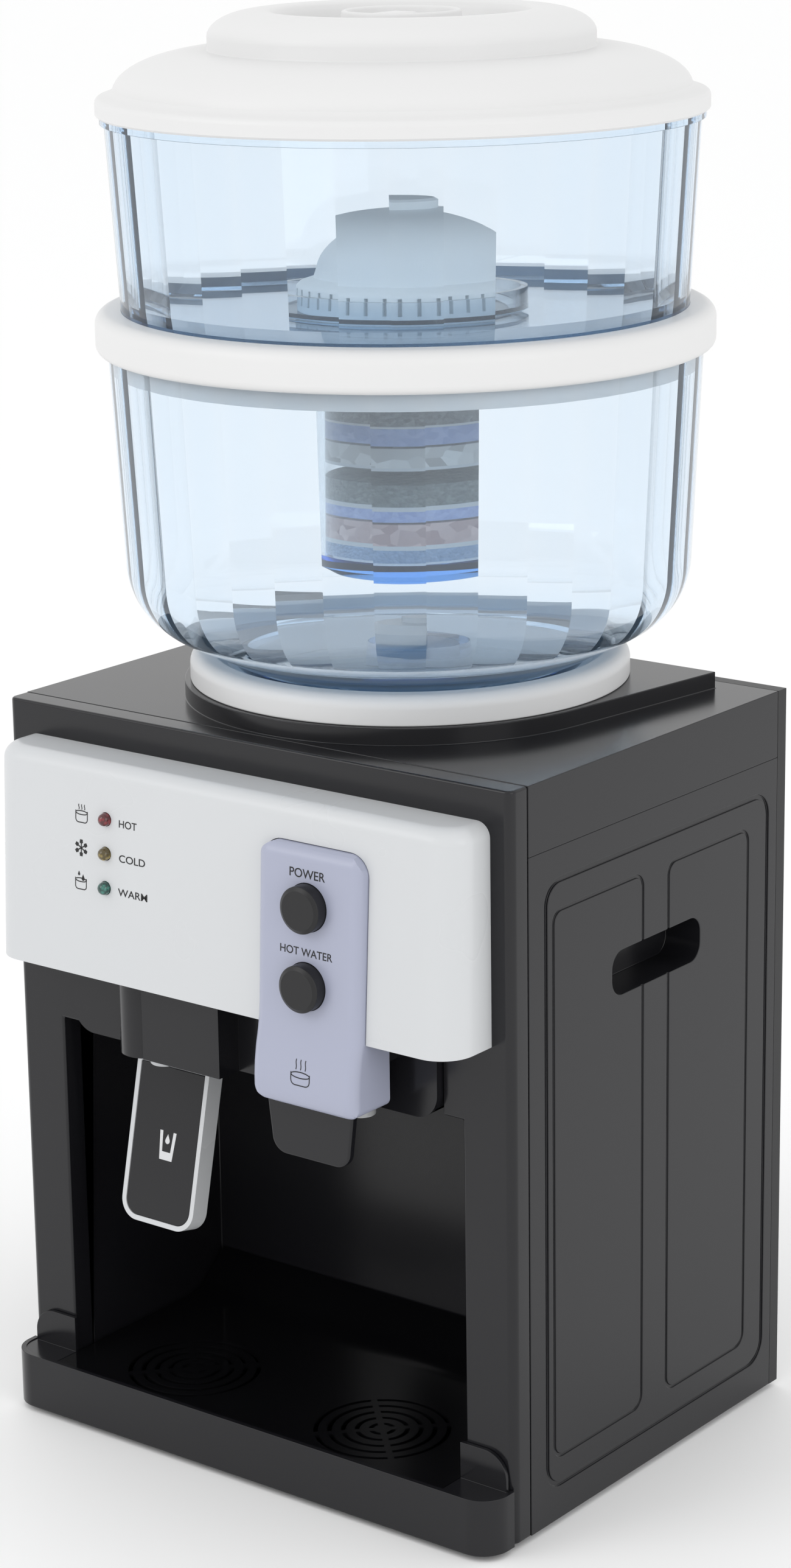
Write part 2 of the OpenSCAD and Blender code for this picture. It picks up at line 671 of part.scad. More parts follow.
// Foam box around the cold tank, open at the top
module cold_tank_foam() color([0.85, 0.85, 0.8]) place() difference() {
    span([cold_x0 - foam_t, cold_y0 - foam_t, cold_z0 - foam_t],
        [cold_x1 + foam_t, cold_y1 + foam_t, cold_z1 - 4]);
    translate([0, 0, cold_z0]) linear_extrude(200) rounded(cold_x0, cold_y0, cold_x1, cold_y1, 8);
    span([tec_x - tec / 2, cold_y1 - 1, tec_z - tec / 2], [tec_x + tec / 2, sink_y + 1, tec_z + tec / 2]);
    rod_y(-tap_x, cold_y0 - foam_t - 1, cold_y0 + 1, hose_z, hose_r);
    rod_x(cold_x1 - 1, cold_x1 + foam_t + 1, hot_y, cold_z0 + 10, hose_r);
}

module thermoelectric_module() color([0.95, 0.95, 0.92]) place() {
    span([tec_x - tec / 2, cold_y1, tec_z - tec / 2], [tec_x + tec / 2, cold_y1 + tec_t, tec_z + tec / 2]);
}

module heat_sink() color([0.8, 0.81, 0.83]) place() {
    span([tec_x - tec / 2, cold_y1 + tec_t, tec_z - tec / 2], [tec_x + tec / 2, sink_y, tec_z + tec / 2]);
    span([tec_x - 45, sink_y, tec_z - 45], [tec_x + 45, sink_y + 4, tec_z + 45]);
    for (i = [0:14])
        span([tec_x - 45 + i * 6.3, sink_y + 4, tec_z - 45], [tec_x - 43.2 + i * 6.3, fan_y, tec_z + 45]);
}

module fan_frame() color([0.1, 0.1, 0.1]) place() {
    h = fan_side / 2;
    difference() {
        along_y(fan_y, rear_y) rounded(tec_x - h, tec_z - h, tec_x + h, tec_z + h, 5);
        rod_y(tec_x, fan_y - 1, rear_y + 1, tec_z, h - 2);
        for (x = [-1, 1], z = [-1, 1]) rod_y(tec_x + x * 35.7, fan_y - 1, rear_y + 1, tec_z + z * 35.7, 2.2);
    }
    // hub disc, four struts and the spindle
    rod_y(tec_x, rear_y - 1.6, rear_y, tec_z, 14);
    for (a = [30, 120]) translate([tec_x, rear_y - 0.8, tec_z]) rotate([0, a, 0]) {
        cube([fan_side - 3, 1.6, 3], center = true);
    }
    rod_y(tec_x, fan_y + 4, rear_y - 1.5, tec_z, pin_r);
}

// Hub with seven blades, turning on the fan's spindle
module fan_rotor() color([0.12, 0.12, 0.12]) place() translate([tec_x, 0, tec_z]) difference() {
    union() {
        rod_y(0, fan_y + 2, rear_y - 2.4, 0, 14);
        for (i = [0:6]) rotate([0, i * 360 / 7, 0])
            translate([24, (fan_y + rear_y) / 2, 0]) rotate([35, 0, 0]) {
            cube([23, 1.4, 10], center = true);
        }
    }
    rod_y(0, fan_y + 3, rear_y, 0, pin_r + pin_fit);
}

module hot_tank() color([0.78, 0.79, 0.81]) place() difference() {
    union() {
        rod_z(hot_x, hot_y, hot_z0, hot_z1, hot_r);
        rod_y(tap_x, 70, hot_y - 40, hose_z, 7);
        rod_x(cold_x1 + foam_t + 3, hot_x - 40, hot_y, cold_z0 + 10, 7);
        rod_z(hot_x, hot_y, hot_z1, hot_z1 + 5, 7);
    }
    rod_z(hot_x, hot_y, hot_z0 + 1, hot_z1 - 1, hot_r - 1);
    rod_y(tap_x, 69, hot_y - 30, hose_z, hose_r - 1.5);
    rod_x(cold_x1 + foam_t, hot_x - 40, hot_y, cold_z0 + 10, hose_r - 1.5);
    rod_z(drain_x, drain_hose_y, hot_z0 - 1, hot_z0 + 2, hose_r - 1.5);
}

module heater_band() color([0.6, 0.55, 0.45]) place() difference() {
    rod_z(hot_x, hot_y, 245, 285, hot_r + 2);
    rod_z(hot_x, hot_y, 244, 286, hot_r);
    span([hot_x - 2, hot_y - 60, 240], [hot_x + 2, hot_y, 290]);
}

module thermostat() color([0.3, 0.3, 0.32]) place() {
    rod_z(hot_x, hot_y + 22, hot_z1, hot_z1 + 4, 8);
    rod_z(hot_x, hot_y + 22, hot_z1 + 4, hot_z1 + 9, 6);
    for (x = [-4, 3.2]) span([hot_x + x, hot_y + 19, hot_z1 + 9], [hot_x + x + 0.8, hot_y + 25, hot_z1 + 16]);
}

// Silicone hoses: to both valves, and from the cold tank to the hot tank
module water_hoses() color([0.85, 0.85, 0.82]) place() {
    tube_y(-tap_x, tap_y + 13, cold_y0, hose_z);
    tube_y(tap_x, tap_y + 13, 70, hose_z);
    difference() {
        rod_x(cold_x1, cold_x1 + foam_t + 3, hot_y, cold_z0 + 10, hose_r);
        rod_x(cold_x1 - 1, cold_x1 + foam_t + 4, hot_y, cold_z0 + 10, hose_r - 1.5);
    }
    drain_hose();
}

// Drain hose: down from the hot tank, then back through a bend to the spout
module drain_hose() {
    bend = 14;
    difference() {
        rod_z(drain_x, drain_hose_y, drain_z + bend, hot_z0, hose_r);
        rod_z(drain_x, drain_hose_y, drain_z + bend - 1, hot_z0 + 1, hose_r - 1.5);
    }
    translate([drain_x, drain_hose_y + bend, drain_z + bend]) rotate([0, 90, 0]) intersection() {
        rotate_extrude() translate([bend, 0]) difference() {
            circle(r = hose_r);
            circle(r = hose_r - 1.5);
        }
        translate([0, -40, -20]) cube([40, 40, 40]);
    }
    tube_y(drain_x, drain_hose_y + bend, rear_y - 12, drain_z);
}

// A straight hose along y
module tube_y(x, y0, y1, z) difference() {
    rod_y(x, y0, y1, z, hose_r);
    rod_y(x, y0 - 1, y1 + 1, z, hose_r - 1.5);
}

module power_supply() color([0.72, 0.73, 0.74]) place() difference() {
    span([-115, 130, floor_t], [-25, rear_y - 8, 62]);
    span([-113.5, 131.5, floor_t + 1.5], [-26.5, rear_y - 9.5, 60.5]);
    for (i = [0:8]) span([-106 + i * 9, 129, 20], [-102 + i * 9, 133, 50]);
}

// Mains inlet socket with its three pins
module mains_inlet() color([0.07, 0.07, 0.07]) place() {
    difference() {
        union() {
            along_y(body_d, body_d + 2) rounded(91, 27, 123, 50, 3);
            along_y(rear_y - 16, body_d + 1) rounded(95.4, 30.4, 118.6, 46.6, 3);
        }
        along_y(rear_y - 14, body_d + 3) rounded(97.4, 32.4, 116.6, 44.6, 2);
    }
    for (x = [102, 107, 112]) span([x - 1, rear_y - 15, 39], [x + 1, body_d - 4, 43]);
}

// Frames of the two rear switches
module switch_bezels() color([0.07, 0.07, 0.07]) place() {
    for (x = [45, 75]) difference() {
        union() {
            along_y(body_d, body_d + 1.5) rounded(x - 8.5, 138, x + 8.5, 162, 2);
            span([x - 6.5, rear_y - 8, 140.5], [x + 6.5, body_d + 1, 159.5]);
        }
        span([x - 5, rear_y - 6, 142], [x + 5, body_d + 3, 158]);
        rod_x(x - 7, x + 7, body_d - 4, 150, 1);
    }
}

// A rocker on its cross pin
module rocker(x) place() union() {
    along_x(x - 4.6, x + 4.6) polygon([[body_d - 6, 145], [body_d - 6, 155], [body_d, 157],
        [body_d + 4, 156.5], [body_d + 2, 150], [body_d, 143.5], [body_d - 1.5, 143]]);
    rod_x(x - 6.4, x + 6.4, body_d - 4, 150, 0.95);
}

module hot_switch() color([0.75, 0.08, 0.06]) rocker(45);

module cold_switch() color([0.1, 0.45, 0.15]) rocker(75);

// Drain outlet at the rear
module drain_spout() color([0.85, 0.86, 0.86]) place() difference() {
    union() {
        rod_y(drain_x, rear_y - 12, body_d + 9, drain_z, 7.9);
        rod_y(drain_x, body_d, body_d + 1.5, drain_z, 12);
    }
    rod_y(drain_x, rear_y - 13, body_d + 10, drain_z, 5);
}

module drain_cap() color([0.1, 0.1, 0.1]) place() difference() {
    union() {
        rod_y(drain_x, body_d + 2, body_d + 13, drain_z, 11);
        for (i = [0:11]) translate([drain_x, 0, drain_z]) rotate([0, i * 30, 0])
            rod_y(10.8, body_d + 2.5, body_d + 12, 0, 0.9);
    }
    rod_y(drain_x, body_d + 1, body_d + 9.4, drain_z, 7.95);
}

// Screws that hold the rear panel to the side panels
module rear_screws() color([0.7, 0.7, 0.71]) place() {
    for (x = screw_xs, z = screw_zs) {
        rod_y(x, body_d, body_d + 1.8, z, 3);
        rod_y(x, rear_y - 8, body_d + 0.5, z, 1.5);
    }
}

// ---------- filter tank ----------

// Lower tank: slightly tapered wall, round shoulder, foot ring and neck
module lower_tank() color([0.6, 0.78, 0.9, 0.5]) place() difference() {
    turned() polygon(concat(
        [[0, tank_z - 14], [neck_r, tank_z - 14], [neck_r, tank_z + 4], [foot_ring_r - 10, tank_z + 4],
        [foot_ring_r - 10, tank_z], [foot_ring_r, tank_z], [foot_ring_r + 6, tank_z + 6]],
        shoulder(36),
        [[lower_top_r, ring_z], [0, ring_z]]));
    turned() polygon(concat(
        [[0, tank_z + 4 + tank_wall], [foot_ring_r, tank_z + 4 + tank_wall]],
        shoulder(36 - tank_wall),
        [[lower_top_r - tank_wall, ring_z], [lower_top_r - tank_wall, ring_z + 1], [0, ring_z + 1]]));
    rod_z(0, tank_y, tank_z - 30, tank_z + 10, neck_r - tank_wall);
}

// Points of the lower tank's round shoulder, at radius r
function shoulder(r) = arc(lower_low_r - 36, tank_z + 50, r, 300, 360, 12);

// Spring valve in the tank's neck that the feed probe opens
module tank_valve() color([0.92, 0.93, 0.94]) place() turned() {
    r = neck_r - tank_wall;
    polygon([[0, tank_z - 13], [r, tank_z - 13], [r, tank_z - 5], [14, tank_z - 5], [14, tank_z + 12],
        [10, tank_z + 16], [4, tank_z + 16], [4, tank_z + 19], [0, tank_z + 19]]);
}

// White ring between the lower tank and the upper bowl, with the partition
module middle_ring() color([0.93, 0.93, 0.94]) place() turned() {
    plug_r = lower_top_r - tank_wall - 0.9;
    polygon(concat(
        [[0, bowl_z - 11], [plug_r - 2, bowl_z - 11], [plug_r - 2, ring_z - 8], [plug_r, ring_z - 8],
        [plug_r, ring_z]],
        arc(ring_r - 4, ring_z + 4, 4, 270, 360, 4),
        arc(ring_r - 6, bowl_z - 6, 6, 0, 90, 6),
        [[bowl_low_r, bowl_z], [bowl_low_r, bowl_z - 8], [0, bowl_z - 8]]));
}

module upper_bowl() color([0.6, 0.78, 0.9, 0.5]) place() turned() polygon([
    [bowl_low_r - tank_wall - 6, bowl_z - 8], [bowl_low_r, bowl_z - 8], [bowl_low_r, bowl_z],
    [bowl_top_r, rim_z - 3], [bowl_top_r + 2, rim_z - 3], [bowl_top_r + 2, rim_z], [bowl_top_r - tank_wall, rim_z],
    [bowl_low_r - tank_wall, bowl_z], [bowl_low_r - tank_wall, bowl_z - 5],
    [bowl_low_r - tank_wall - 6, bowl_z - 5]]);

// Clear dish on the partition that the dome stands in
module dome_dish() color([0.7, 0.85, 0.95, 0.5]) place() turned() {
    r = dome_r + 10;
    polygon([[0, bowl_z - 8], [r - 2, bowl_z - 8], [r, bowl_z + 5], [r - 2, bowl_z + 5], [r - 3.8, bowl_z - 6],
        [0, bowl_z - 6]]);
}

// Ceramic dome on its slotted base, with a cap nut
module ceramic_dome() color([0.93, 0.94, 0.94]) place() difference() {
    turned() polygon(concat(
        [[0, bowl_z - 6], [dome_r + 2, bowl_z - 6], [dome_r + 2, bowl_z + 10], [dome_r, bowl_z + 12]],
        arc(dome_r - 6, bowl_z + 31, 6, 0, 75, 6),
        [[11, bowl_z + 43], [11, bowl_z + 47], [9.5, bowl_z + 48], [0, bowl_z + 48]]));
    for (i = [0:23]) translate([0, tank_y, 0]) rotate([0, 0, i * 15]) {
        span([dome_r - 1, -1.2, bowl_z + 1], [dome_r + 4, 1.2, bowl_z + 9]);
    }
}

// Clear shell of the cartridge that hangs under the partition
module filter_cartridge() color([0.75, 0.85, 0.92, 0.5]) place() turned() {
    z1 = bowl_z - 11;
    z0 = z1 - 113;
    r = cartridge_r;
    polygon([[0, z0], [r - 4, z0], [r, z0 + 4], [r, z1], [r - 2, z1], [r - 2, z0 + 9], [0, z0 + 9]]);
}

// Height of each filter layer below the partition, with a screen between layers
media_levels = [[12, 40], [41, 49], [50, 59], [67, 77], [79, 84], [85, 95], [97, 103]];

module filter_media() color([0.45, 0.42, 0.4]) place() {
    for (m = media_levels) rod_z(0, tank_y, bowl_z - 11 - m[1], bowl_z - 11 - m[0], cartridge_r - 2.3);
}

// Quarter of an oval from its side to its top, for the domes of the lid
function crown(cx, cz, a, b, from, to, step) =
    [for (t = [from:step:to]) [cx + a * cos(t), cz + b * sin(t)]];

// Lid with two domed steps; a round knob stands in its top recess
module lid() color([0.94, 0.94, 0.95]) place() union() {
    dome_a = lid_r - 8 - lid_step_r;
    step_a = lid_step_r - 65;
    turned() polygon(concat(
        [[bowl_top_r - 6, rim_z], [lid_r, rim_z], [lid_r, rim_z + 6], [lid_r - 3, rim_z + 8.5]],
        crown(lid_step_r, rim_z + 10, dome_a, lid_dome_h - 10, 10, 90, 10),
        crown(65, lid_step_z, step_a, lid_top - lid_step_z, 0, 90, 15),
        [[60, lid_top], [57.5, lid_top - 1.5], [56, lid_top - 4], [54, lid_top - lid_recess_h],
        [0, lid_top - lid_recess_h], [0, lid_top - lid_recess_h - wall],
        [56, lid_top - lid_recess_h - wall], [59, lid_top - 5]],
        crown(65, lid_step_z, step_a - wall, lid_top - lid_step_z - wall, 90, 0, -15),
        [[lid_step_r - wall, rim_z + lid_dome_h - wall]],
        crown(lid_step_r, rim_z + 10, dome_a - wall, lid_dome_h - 10 - wall, 90, 10, -10),
        [[lid_r - 10.5, rim_z + 8], [bowl_top_r - 6, rim_z + 3]]));
    difference() {
        union() {
            rod_z(0, tank_y, lid_top - lid_recess_h - 0.5, lid_top - 0.5, 28);
            span([-8, tank_y - 55, lid_top - lid_recess_h - 0.5], [8, tank_y - 20, lid_top - 7]);
        }
        rod_z(0, tank_y, lid_top - 9, lid_top + 1, 25.5);
    }
    span([-6, tank_y - 26, lid_top - 9.5], [6, tank_y - 14, lid_top - 2]);
}

base_pan();
feet();
front_frame();
niche_liner();
side_panel_left();
side_panel_right();
rear_panel();
top_cover();
control_panel();
display_board();
led_red();
led_amber();
led_green();
control_pod();
switch_board();
power_button();
hot_water_button();
button_domes();
tap_housing();
cold_valve();
cold_paddle();
cold_paddle_face();
cold_valve_stem();
hot_valve();
tap_nozzles();
hinge_pins();
hot_lever();
hot_valve_stem();
drip_tray();
tray_deck();
seat_collar();
seat_funnel();
tank_shelf();
cold_tank();
cold_tank_foam();
thermoelectric_module();
heat_sink();
fan_frame();
fan_rotor();
hot_tank();
heater_band();
thermostat();
water_hoses();
power_supply();
mains_inlet();
switch_bezels();
hot_switch();
cold_switch();
drain_spout();
drain_cap();
rear_screws();
lower_tank();
tank_valve();
middle_ring();
upper_bowl();
dome_dish();
ceramic_dome();
filter_cartridge();
filter_media();
lid();
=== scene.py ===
import json
from math import atan2, cos, degrees, pi, radians, sin, sqrt, tan

import bpy
from mathutils import Matrix, Vector


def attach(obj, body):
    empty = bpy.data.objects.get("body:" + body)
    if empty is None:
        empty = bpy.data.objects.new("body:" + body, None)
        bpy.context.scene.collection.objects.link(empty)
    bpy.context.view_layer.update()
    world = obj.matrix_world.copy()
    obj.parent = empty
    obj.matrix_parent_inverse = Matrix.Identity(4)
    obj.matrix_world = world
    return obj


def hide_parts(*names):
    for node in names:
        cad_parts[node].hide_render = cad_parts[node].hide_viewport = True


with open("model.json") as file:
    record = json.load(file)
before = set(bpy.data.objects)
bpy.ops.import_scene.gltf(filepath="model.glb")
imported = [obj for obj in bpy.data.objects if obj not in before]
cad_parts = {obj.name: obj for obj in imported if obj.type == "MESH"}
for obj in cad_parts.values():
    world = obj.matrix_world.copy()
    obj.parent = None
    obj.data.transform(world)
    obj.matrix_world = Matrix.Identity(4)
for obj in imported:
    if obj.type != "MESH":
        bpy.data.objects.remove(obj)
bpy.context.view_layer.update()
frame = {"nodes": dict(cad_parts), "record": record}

# ---------- the cabinet's own frame ----------
# Sizes are millimetres: x = 0 is the middle, y = 0 the face of the front frame,
# z = 0 the cabinet's underside.
MM = 0.001
CENTRE_Y = 110.6027
FOOT_H = 3.0
TANK_Y = 120.0
SEAT_Z = 365.0
RING_Z, BOWL_Z, RIM_Z, LID_TOP = 512.0, 531.0, 618.0, 663.0
RING_R, LID_R = 142.0, 138.3
POD_X0, POD_X1 = 30.0, 88.0
POD_Z0, POD_Z1 = 201.0, 318.0
# the push buttons: their column, heights, back of the flange and how far the caps stand out
BUTTON_X, POWER_Z, HOT_BUTTON_Z = 59.0, 292.0, 256.5
BUTTON_BACK, BUTTON_OUT = 27.1, 6.5
# the indicator lamps, red, amber and green from the top
LAMP_X, LAMP_ZS = -63.0, (310.0, 294.0, 278.0)
PANEL_LEAN = 3.4


def at(x, y, z):
    """A place in the cabinet's frame, in the row frame and in metres."""
    return Vector((x, y - CENTRE_Y, z + FOOT_H)) * MM


def panel_face(z):
    """How far the control panel's leaning face stands out at height z."""
    return 24.0 + (335.0 - z) * tan(radians(PANEL_LEAN))


def pod_face(z):
    """How far the control pod's face stands out at height z."""
    return 31.0 + (POD_Z1 - z) * 4.5 / 84.0


# ---------- modelling ----------


def deselect():
    if bpy.context.object and bpy.context.object.mode != "OBJECT":
        bpy.ops.object.mode_set(mode="OBJECT")
    bpy.ops.object.select_all(action="DESELECT")


def pick(obj):
    """Makes obj the only selected object, and the active one."""
    deselect()
    obj.select_set(True)
    bpy.context.view_layer.objects.active = obj
    return obj


def named(name):
    """Names the new object and applies its place, so that it sits at the origin."""
    obj = bpy.context.object
    obj.name = obj.data.name = name
    bpy.ops.object.transform_apply(location=True, rotation=True, scale=True)
    return obj


def block(name, low, high):
    """A box from its lowest to its highest corner."""
    deselect()
    a, b = at(*low), at(*high)
    bpy.ops.mesh.primitive_cube_add(size=1, location=(a + b) / 2, scale=b - a)
    return named(name)


def rod(name, start, end, r, sides=64):
    """A cylinder between two places."""
    deselect()
    a, b = at(*start), at(*end)
    turn = (b - a).to_track_quat("Z", "Y").to_euler()
    bpy.ops.mesh.primitive_cylinder_add(
        vertices=sides, radius=r * MM, depth=(b - a).length, location=(a + b) / 2, rotation=turn)
    return named(name)


def use(obj, kind, **settings):
    """Adds a modifier and applies it."""
    pick(obj)
    modifier = obj.modifiers.new(kind, kind)
    for key, value in settings.items():
        setattr(modifier, key, value)
    bpy.ops.object.modifier_apply(modifier=modifier.name)
    return obj


def combine(obj, how, others):
    """Cuts the others from obj, joins them into it, or keeps what they share; the others are used up."""
    for other in others:
        use(obj, "BOOLEAN", operation=how, object=other, solver="EXACT")
        bpy.data.objects.remove(other)
    return obj


def together(obj, *others):
    """Joins loose pieces into one mesh."""
    pick(obj)
    for other in others:
        other.select_set(True)
    bpy.ops.object.join()
    return obj


def clean(obj, flat=0.5):
    """Merges doubles, melts edges between faces that lie flat, and turns the normals outwards."""
    pick(obj)
    bpy.ops.object.mode_set(mode="EDIT")
    bpy.ops.mesh.select_all(action="SELECT")
    bpy.ops.mesh.remove_doubles(threshold=0.00002)
    bpy.ops.mesh.dissolve_limited(angle_limit=radians(flat))
    bpy.ops.mesh.select_all(action="SELECT")
    bpy.ops.mesh.normals_make_consistent(inside=False)
    bpy.ops.object.mode_set(mode="OBJECT")
    return obj


def smooth(obj, angle=35):
    pick(obj)
    bpy.ops.object.shade_smooth_by_angle(angle=radians(angle))
    return obj


def soften(obj, width, sharper_than=30, segments=3):
    """Rounds every edge that is sharper than an angle, as a mould does."""
    use(obj, "BEVEL", width=width * MM, segments=segments, limit_method="ANGLE",
        angle_limit=radians(sharper_than), use_clamp_overlap=True)
    smooth(obj)
    return use(obj, "WEIGHTED_NORMAL", keep_sharp=True)


def outline_face(name, points, depth):
    """A flat piece from an outline in millimetres, with a depth vector.

    A vertex is drawn out along the outline, which is then filled."""
    deselect()
    here = at(*points[0])
    bpy.ops.mesh.primitive_plane_add(size=MM, location=here)
    obj = bpy.context.object
    bpy.ops.object.mode_set(mode="EDIT")
    bpy.ops.mesh.select_mode(type="VERT")
    bpy.ops.mesh.merge(type="CENTER")
    for point in list(points[1:]) + [points[0]]:
        there = at(*point)
        bpy.ops.mesh.extrude_region_move(TRANSFORM_OT_translate={"value": there - here})
        here = there
    bpy.ops.mesh.select_all(action="SELECT")
    bpy.ops.mesh.remove_doubles(threshold=1e-6)
    bpy.ops.mesh.select_all(action="SELECT")
    bpy.ops.mesh.edge_face_add()
    bpy.ops.mesh.extrude_region_move(TRANSFORM_OT_translate={"value": Vector(depth) * MM})
    bpy.ops.mesh.select_all(action="SELECT")
    bpy.ops.mesh.normals_make_consistent(inside=False)
    bpy.ops.object.mode_set(mode="OBJECT")
    return named(name)


def lathe(name, outline, steps, foot=(0, TANK_Y, 0), axis=(0, 0, 1), turn=0.0):
    """Spins an outline of (radius, height) points about an axis through foot."""
    up = Vector(axis)
    out = Matrix.Rotation(radians(turn), 3, up) @ Vector((1, 0, 0))
    base = at(*foot)
    places = [base + (out * r + up * h) * MM for r, h in outline]
    deselect()
    bpy.ops.mesh.primitive_plane_add(size=MM, location=places[0])
    obj = bpy.context.object
    bpy.ops.object.mode_set(mode="EDIT")
    bpy.ops.mesh.select_mode(type="VERT")
    bpy.ops.mesh.merge(type="CENTER")
    for here, there in zip(places, places[1:]):
        bpy.ops.mesh.extrude_region_move(TRANSFORM_OT_translate={"value": there - here})
    bpy.ops.mesh.select_all(action="SELECT")
    bpy.ops.mesh.spin(steps=steps, angle=2 * pi, center=base, axis=up)
    bpy.ops.mesh.select_all(action="SELECT")
    bpy.ops.mesh.remove_doubles(threshold=2e-6)
    bpy.ops.mesh.delete_loose()
    bpy.ops.mesh.select_all(action="SELECT")
    bpy.ops.mesh.normals_make_consistent(inside=False)
    bpy.ops.object.mode_set(mode="OBJECT")
    return named(name)


def arc(cx, cy, r, start, end, n):
    """Points on an arc, for outlines; the angles are degrees."""
    angles = [radians(start + (end - start) * i / n) for i in range(n + 1)]
    return [(cx + r * cos(a), cy + r * sin(a)) for a in angles]


def rounded(x0, y0, x1, y1, radii, n=8):
    """Outline of a rectangle with a radius per corner: lower left, lower right, upper right, upper left."""
    corners = [(x0, y0, 1, 1, 180), (x1, y0, -1, 1, 270), (x1, y1, -1, -1, 0), (x0, y1, 1, -1, 90)]
    points = []
    for (x, y, sx, sy, start), r in zip(corners, radii):
        if r == 0:
            points.append((x, y))
        else:
            points += arc(x + sx * r, y + sy * r, r, start, start + 90, n)
    return points


def loft(name, outline, levels):
    """Stacks copies of an (x, y) outline.

    Each level is a height and the x and y span that the outline is fitted to."""
    z0, span_x, span_y = levels[0]
    obj = outline_face(name, [(x, y, z0) for x, y in outline], (0, 0, levels[1][0] - z0))
    pick(obj)
    bpy.ops.object.mode_set(mode="EDIT")
    bpy.ops.mesh.select_mode(type="FACE")
    bpy.ops.mesh.select_all(action="DESELECT")
    bpy.ops.object.mode_set(mode="OBJECT")
    top = at(0, 0, levels[1][0]).z - 1e-6
    for face in obj.data.polygons:
        face.select = all(obj.data.vertices[i].co.z > top for i in face.vertices)
    bpy.ops.object.mode_set(mode="EDIT")
    for level, (z, to_x, to_y) in enumerate(levels[1:]):
        if level:
            bpy.ops.mesh.extrude_region_move(TRANSFORM_OT_translate={"value": (0, 0, (z - z0) * MM)})
        grow_x = (to_x[1] - to_x[0]) / (span_x[1] - span_x[0])
        grow_y = (to_y[1] - to_y[0]) / (span_y[1] - span_y[0])
        bpy.ops.transform.resize(value=(grow_x, grow_y, 1), center_override=at(span_x[0], span_y[0], z))
        shift = ((to_x[0] - span_x[0]) * MM, (to_y[0] - span_y[0]) * MM, 0)
        bpy.ops.transform.translate(value=shift)
        z0, span_x, span_y = z, to_x, to_y
    bpy.ops.mesh.select_all(action="SELECT")
    bpy.ops.mesh.normals_make_consistent(inside=False)
    bpy.ops.object.mode_set(mode="OBJECT")
    return obj


def stroke(points, width):
    """Outline of a line of one width through (x, z) points."""
    left, right = [], []
    for i, (x, z) in enumerate(points):
        x0, z0 = points[max(i - 1, 0)]
        x1, z1 = points[min(i + 1, len(points) - 1)]
        aside = width / 2 / sqrt((x1 - x0) ** 2 + (z1 - z0) ** 2)
        left.append((x - (z1 - z0) * aside, z + (x1 - x0) * aside))
        right.append((x + (z1 - z0) * aside, z - (x1 - x0) * aside))
    return left + right[::-1]


def mark(outline, face):
    """One printed shape on a face, a tenth of a millimetre thick.

    face gives how far out the face is at a height."""
    return outline_face("mark", [(x, -face(z), z) for x, z in outline], (0, -0.1, 0))


def word(text, x, z, cap, length, face):
    """A printed word: its left end, its base line, the height of its capitals and its length."""
    deselect()
    bpy.ops.object.text_add(location=(0, 0, 0))
    obj = bpy.context.object
    obj.data.body = text
    obj.data.extrude = 0.05 * MM
    obj.data.offset = 0.005
    bpy.ops.object.convert(target="MESH")
    obj = bpy.context.object
    low = min(v.co.x for v in obj.data.vertices)
    width = max(v.co.x for v in obj.data.vertices) - low
    height = max(v.co.y for v in obj.data.vertices)
    lean = atan2(face(z) - face(z + cap), cap)
    obj.scale = (length * MM / width, cap * MM / height, 1)
    obj.rotation_euler = (pi / 2 - lean, 0, 0)
    obj.location = at(x, -face(z) - 0.05, z) - Vector((low * length * MM / width, 0, 0))
    return named("word")


def cad_copy(node, name):
    """A merged copy of a CAD node, to be finished in its place."""
    source = frame["nodes"][node]
    deselect()
    obj = bpy.data.objects.new(name, source.data.copy())
    obj.data.name = name
    bpy.context.scene.collection.objects.link(obj)
    return clean(obj)


# ---------- materials ----------


def colour(code, alpha=1.0):
    """An sRGB hex colour as linear values."""
    parts = [int(code[i:i + 2], 16) / 255 for i in (1, 3, 5)]
    return tuple(c / 12.92 if c <= 0.04045 else ((c + 0.055) / 1.055) ** 2.4 for c in parts) + (alpha,)


def add(tree, kind, inputs=None, links=None, **settings):
    """Adds a node with its settings, the values of its sockets and the links into it."""
    item = tree.nodes.new(kind)
    for key, value in settings.items():
        setattr(item, key, value)
    for key, value in (inputs or {}).items():
        item.inputs[key].default_value = value
    for key, socket in (links or {}).items():
        tree.links.new(socket, item.inputs[key])
    return item


def new_material(name):
    material = bpy.data.materials.new(name)
    material.use_nodes = True
    material.node_tree.nodes.clear()
    return material, material.node_tree


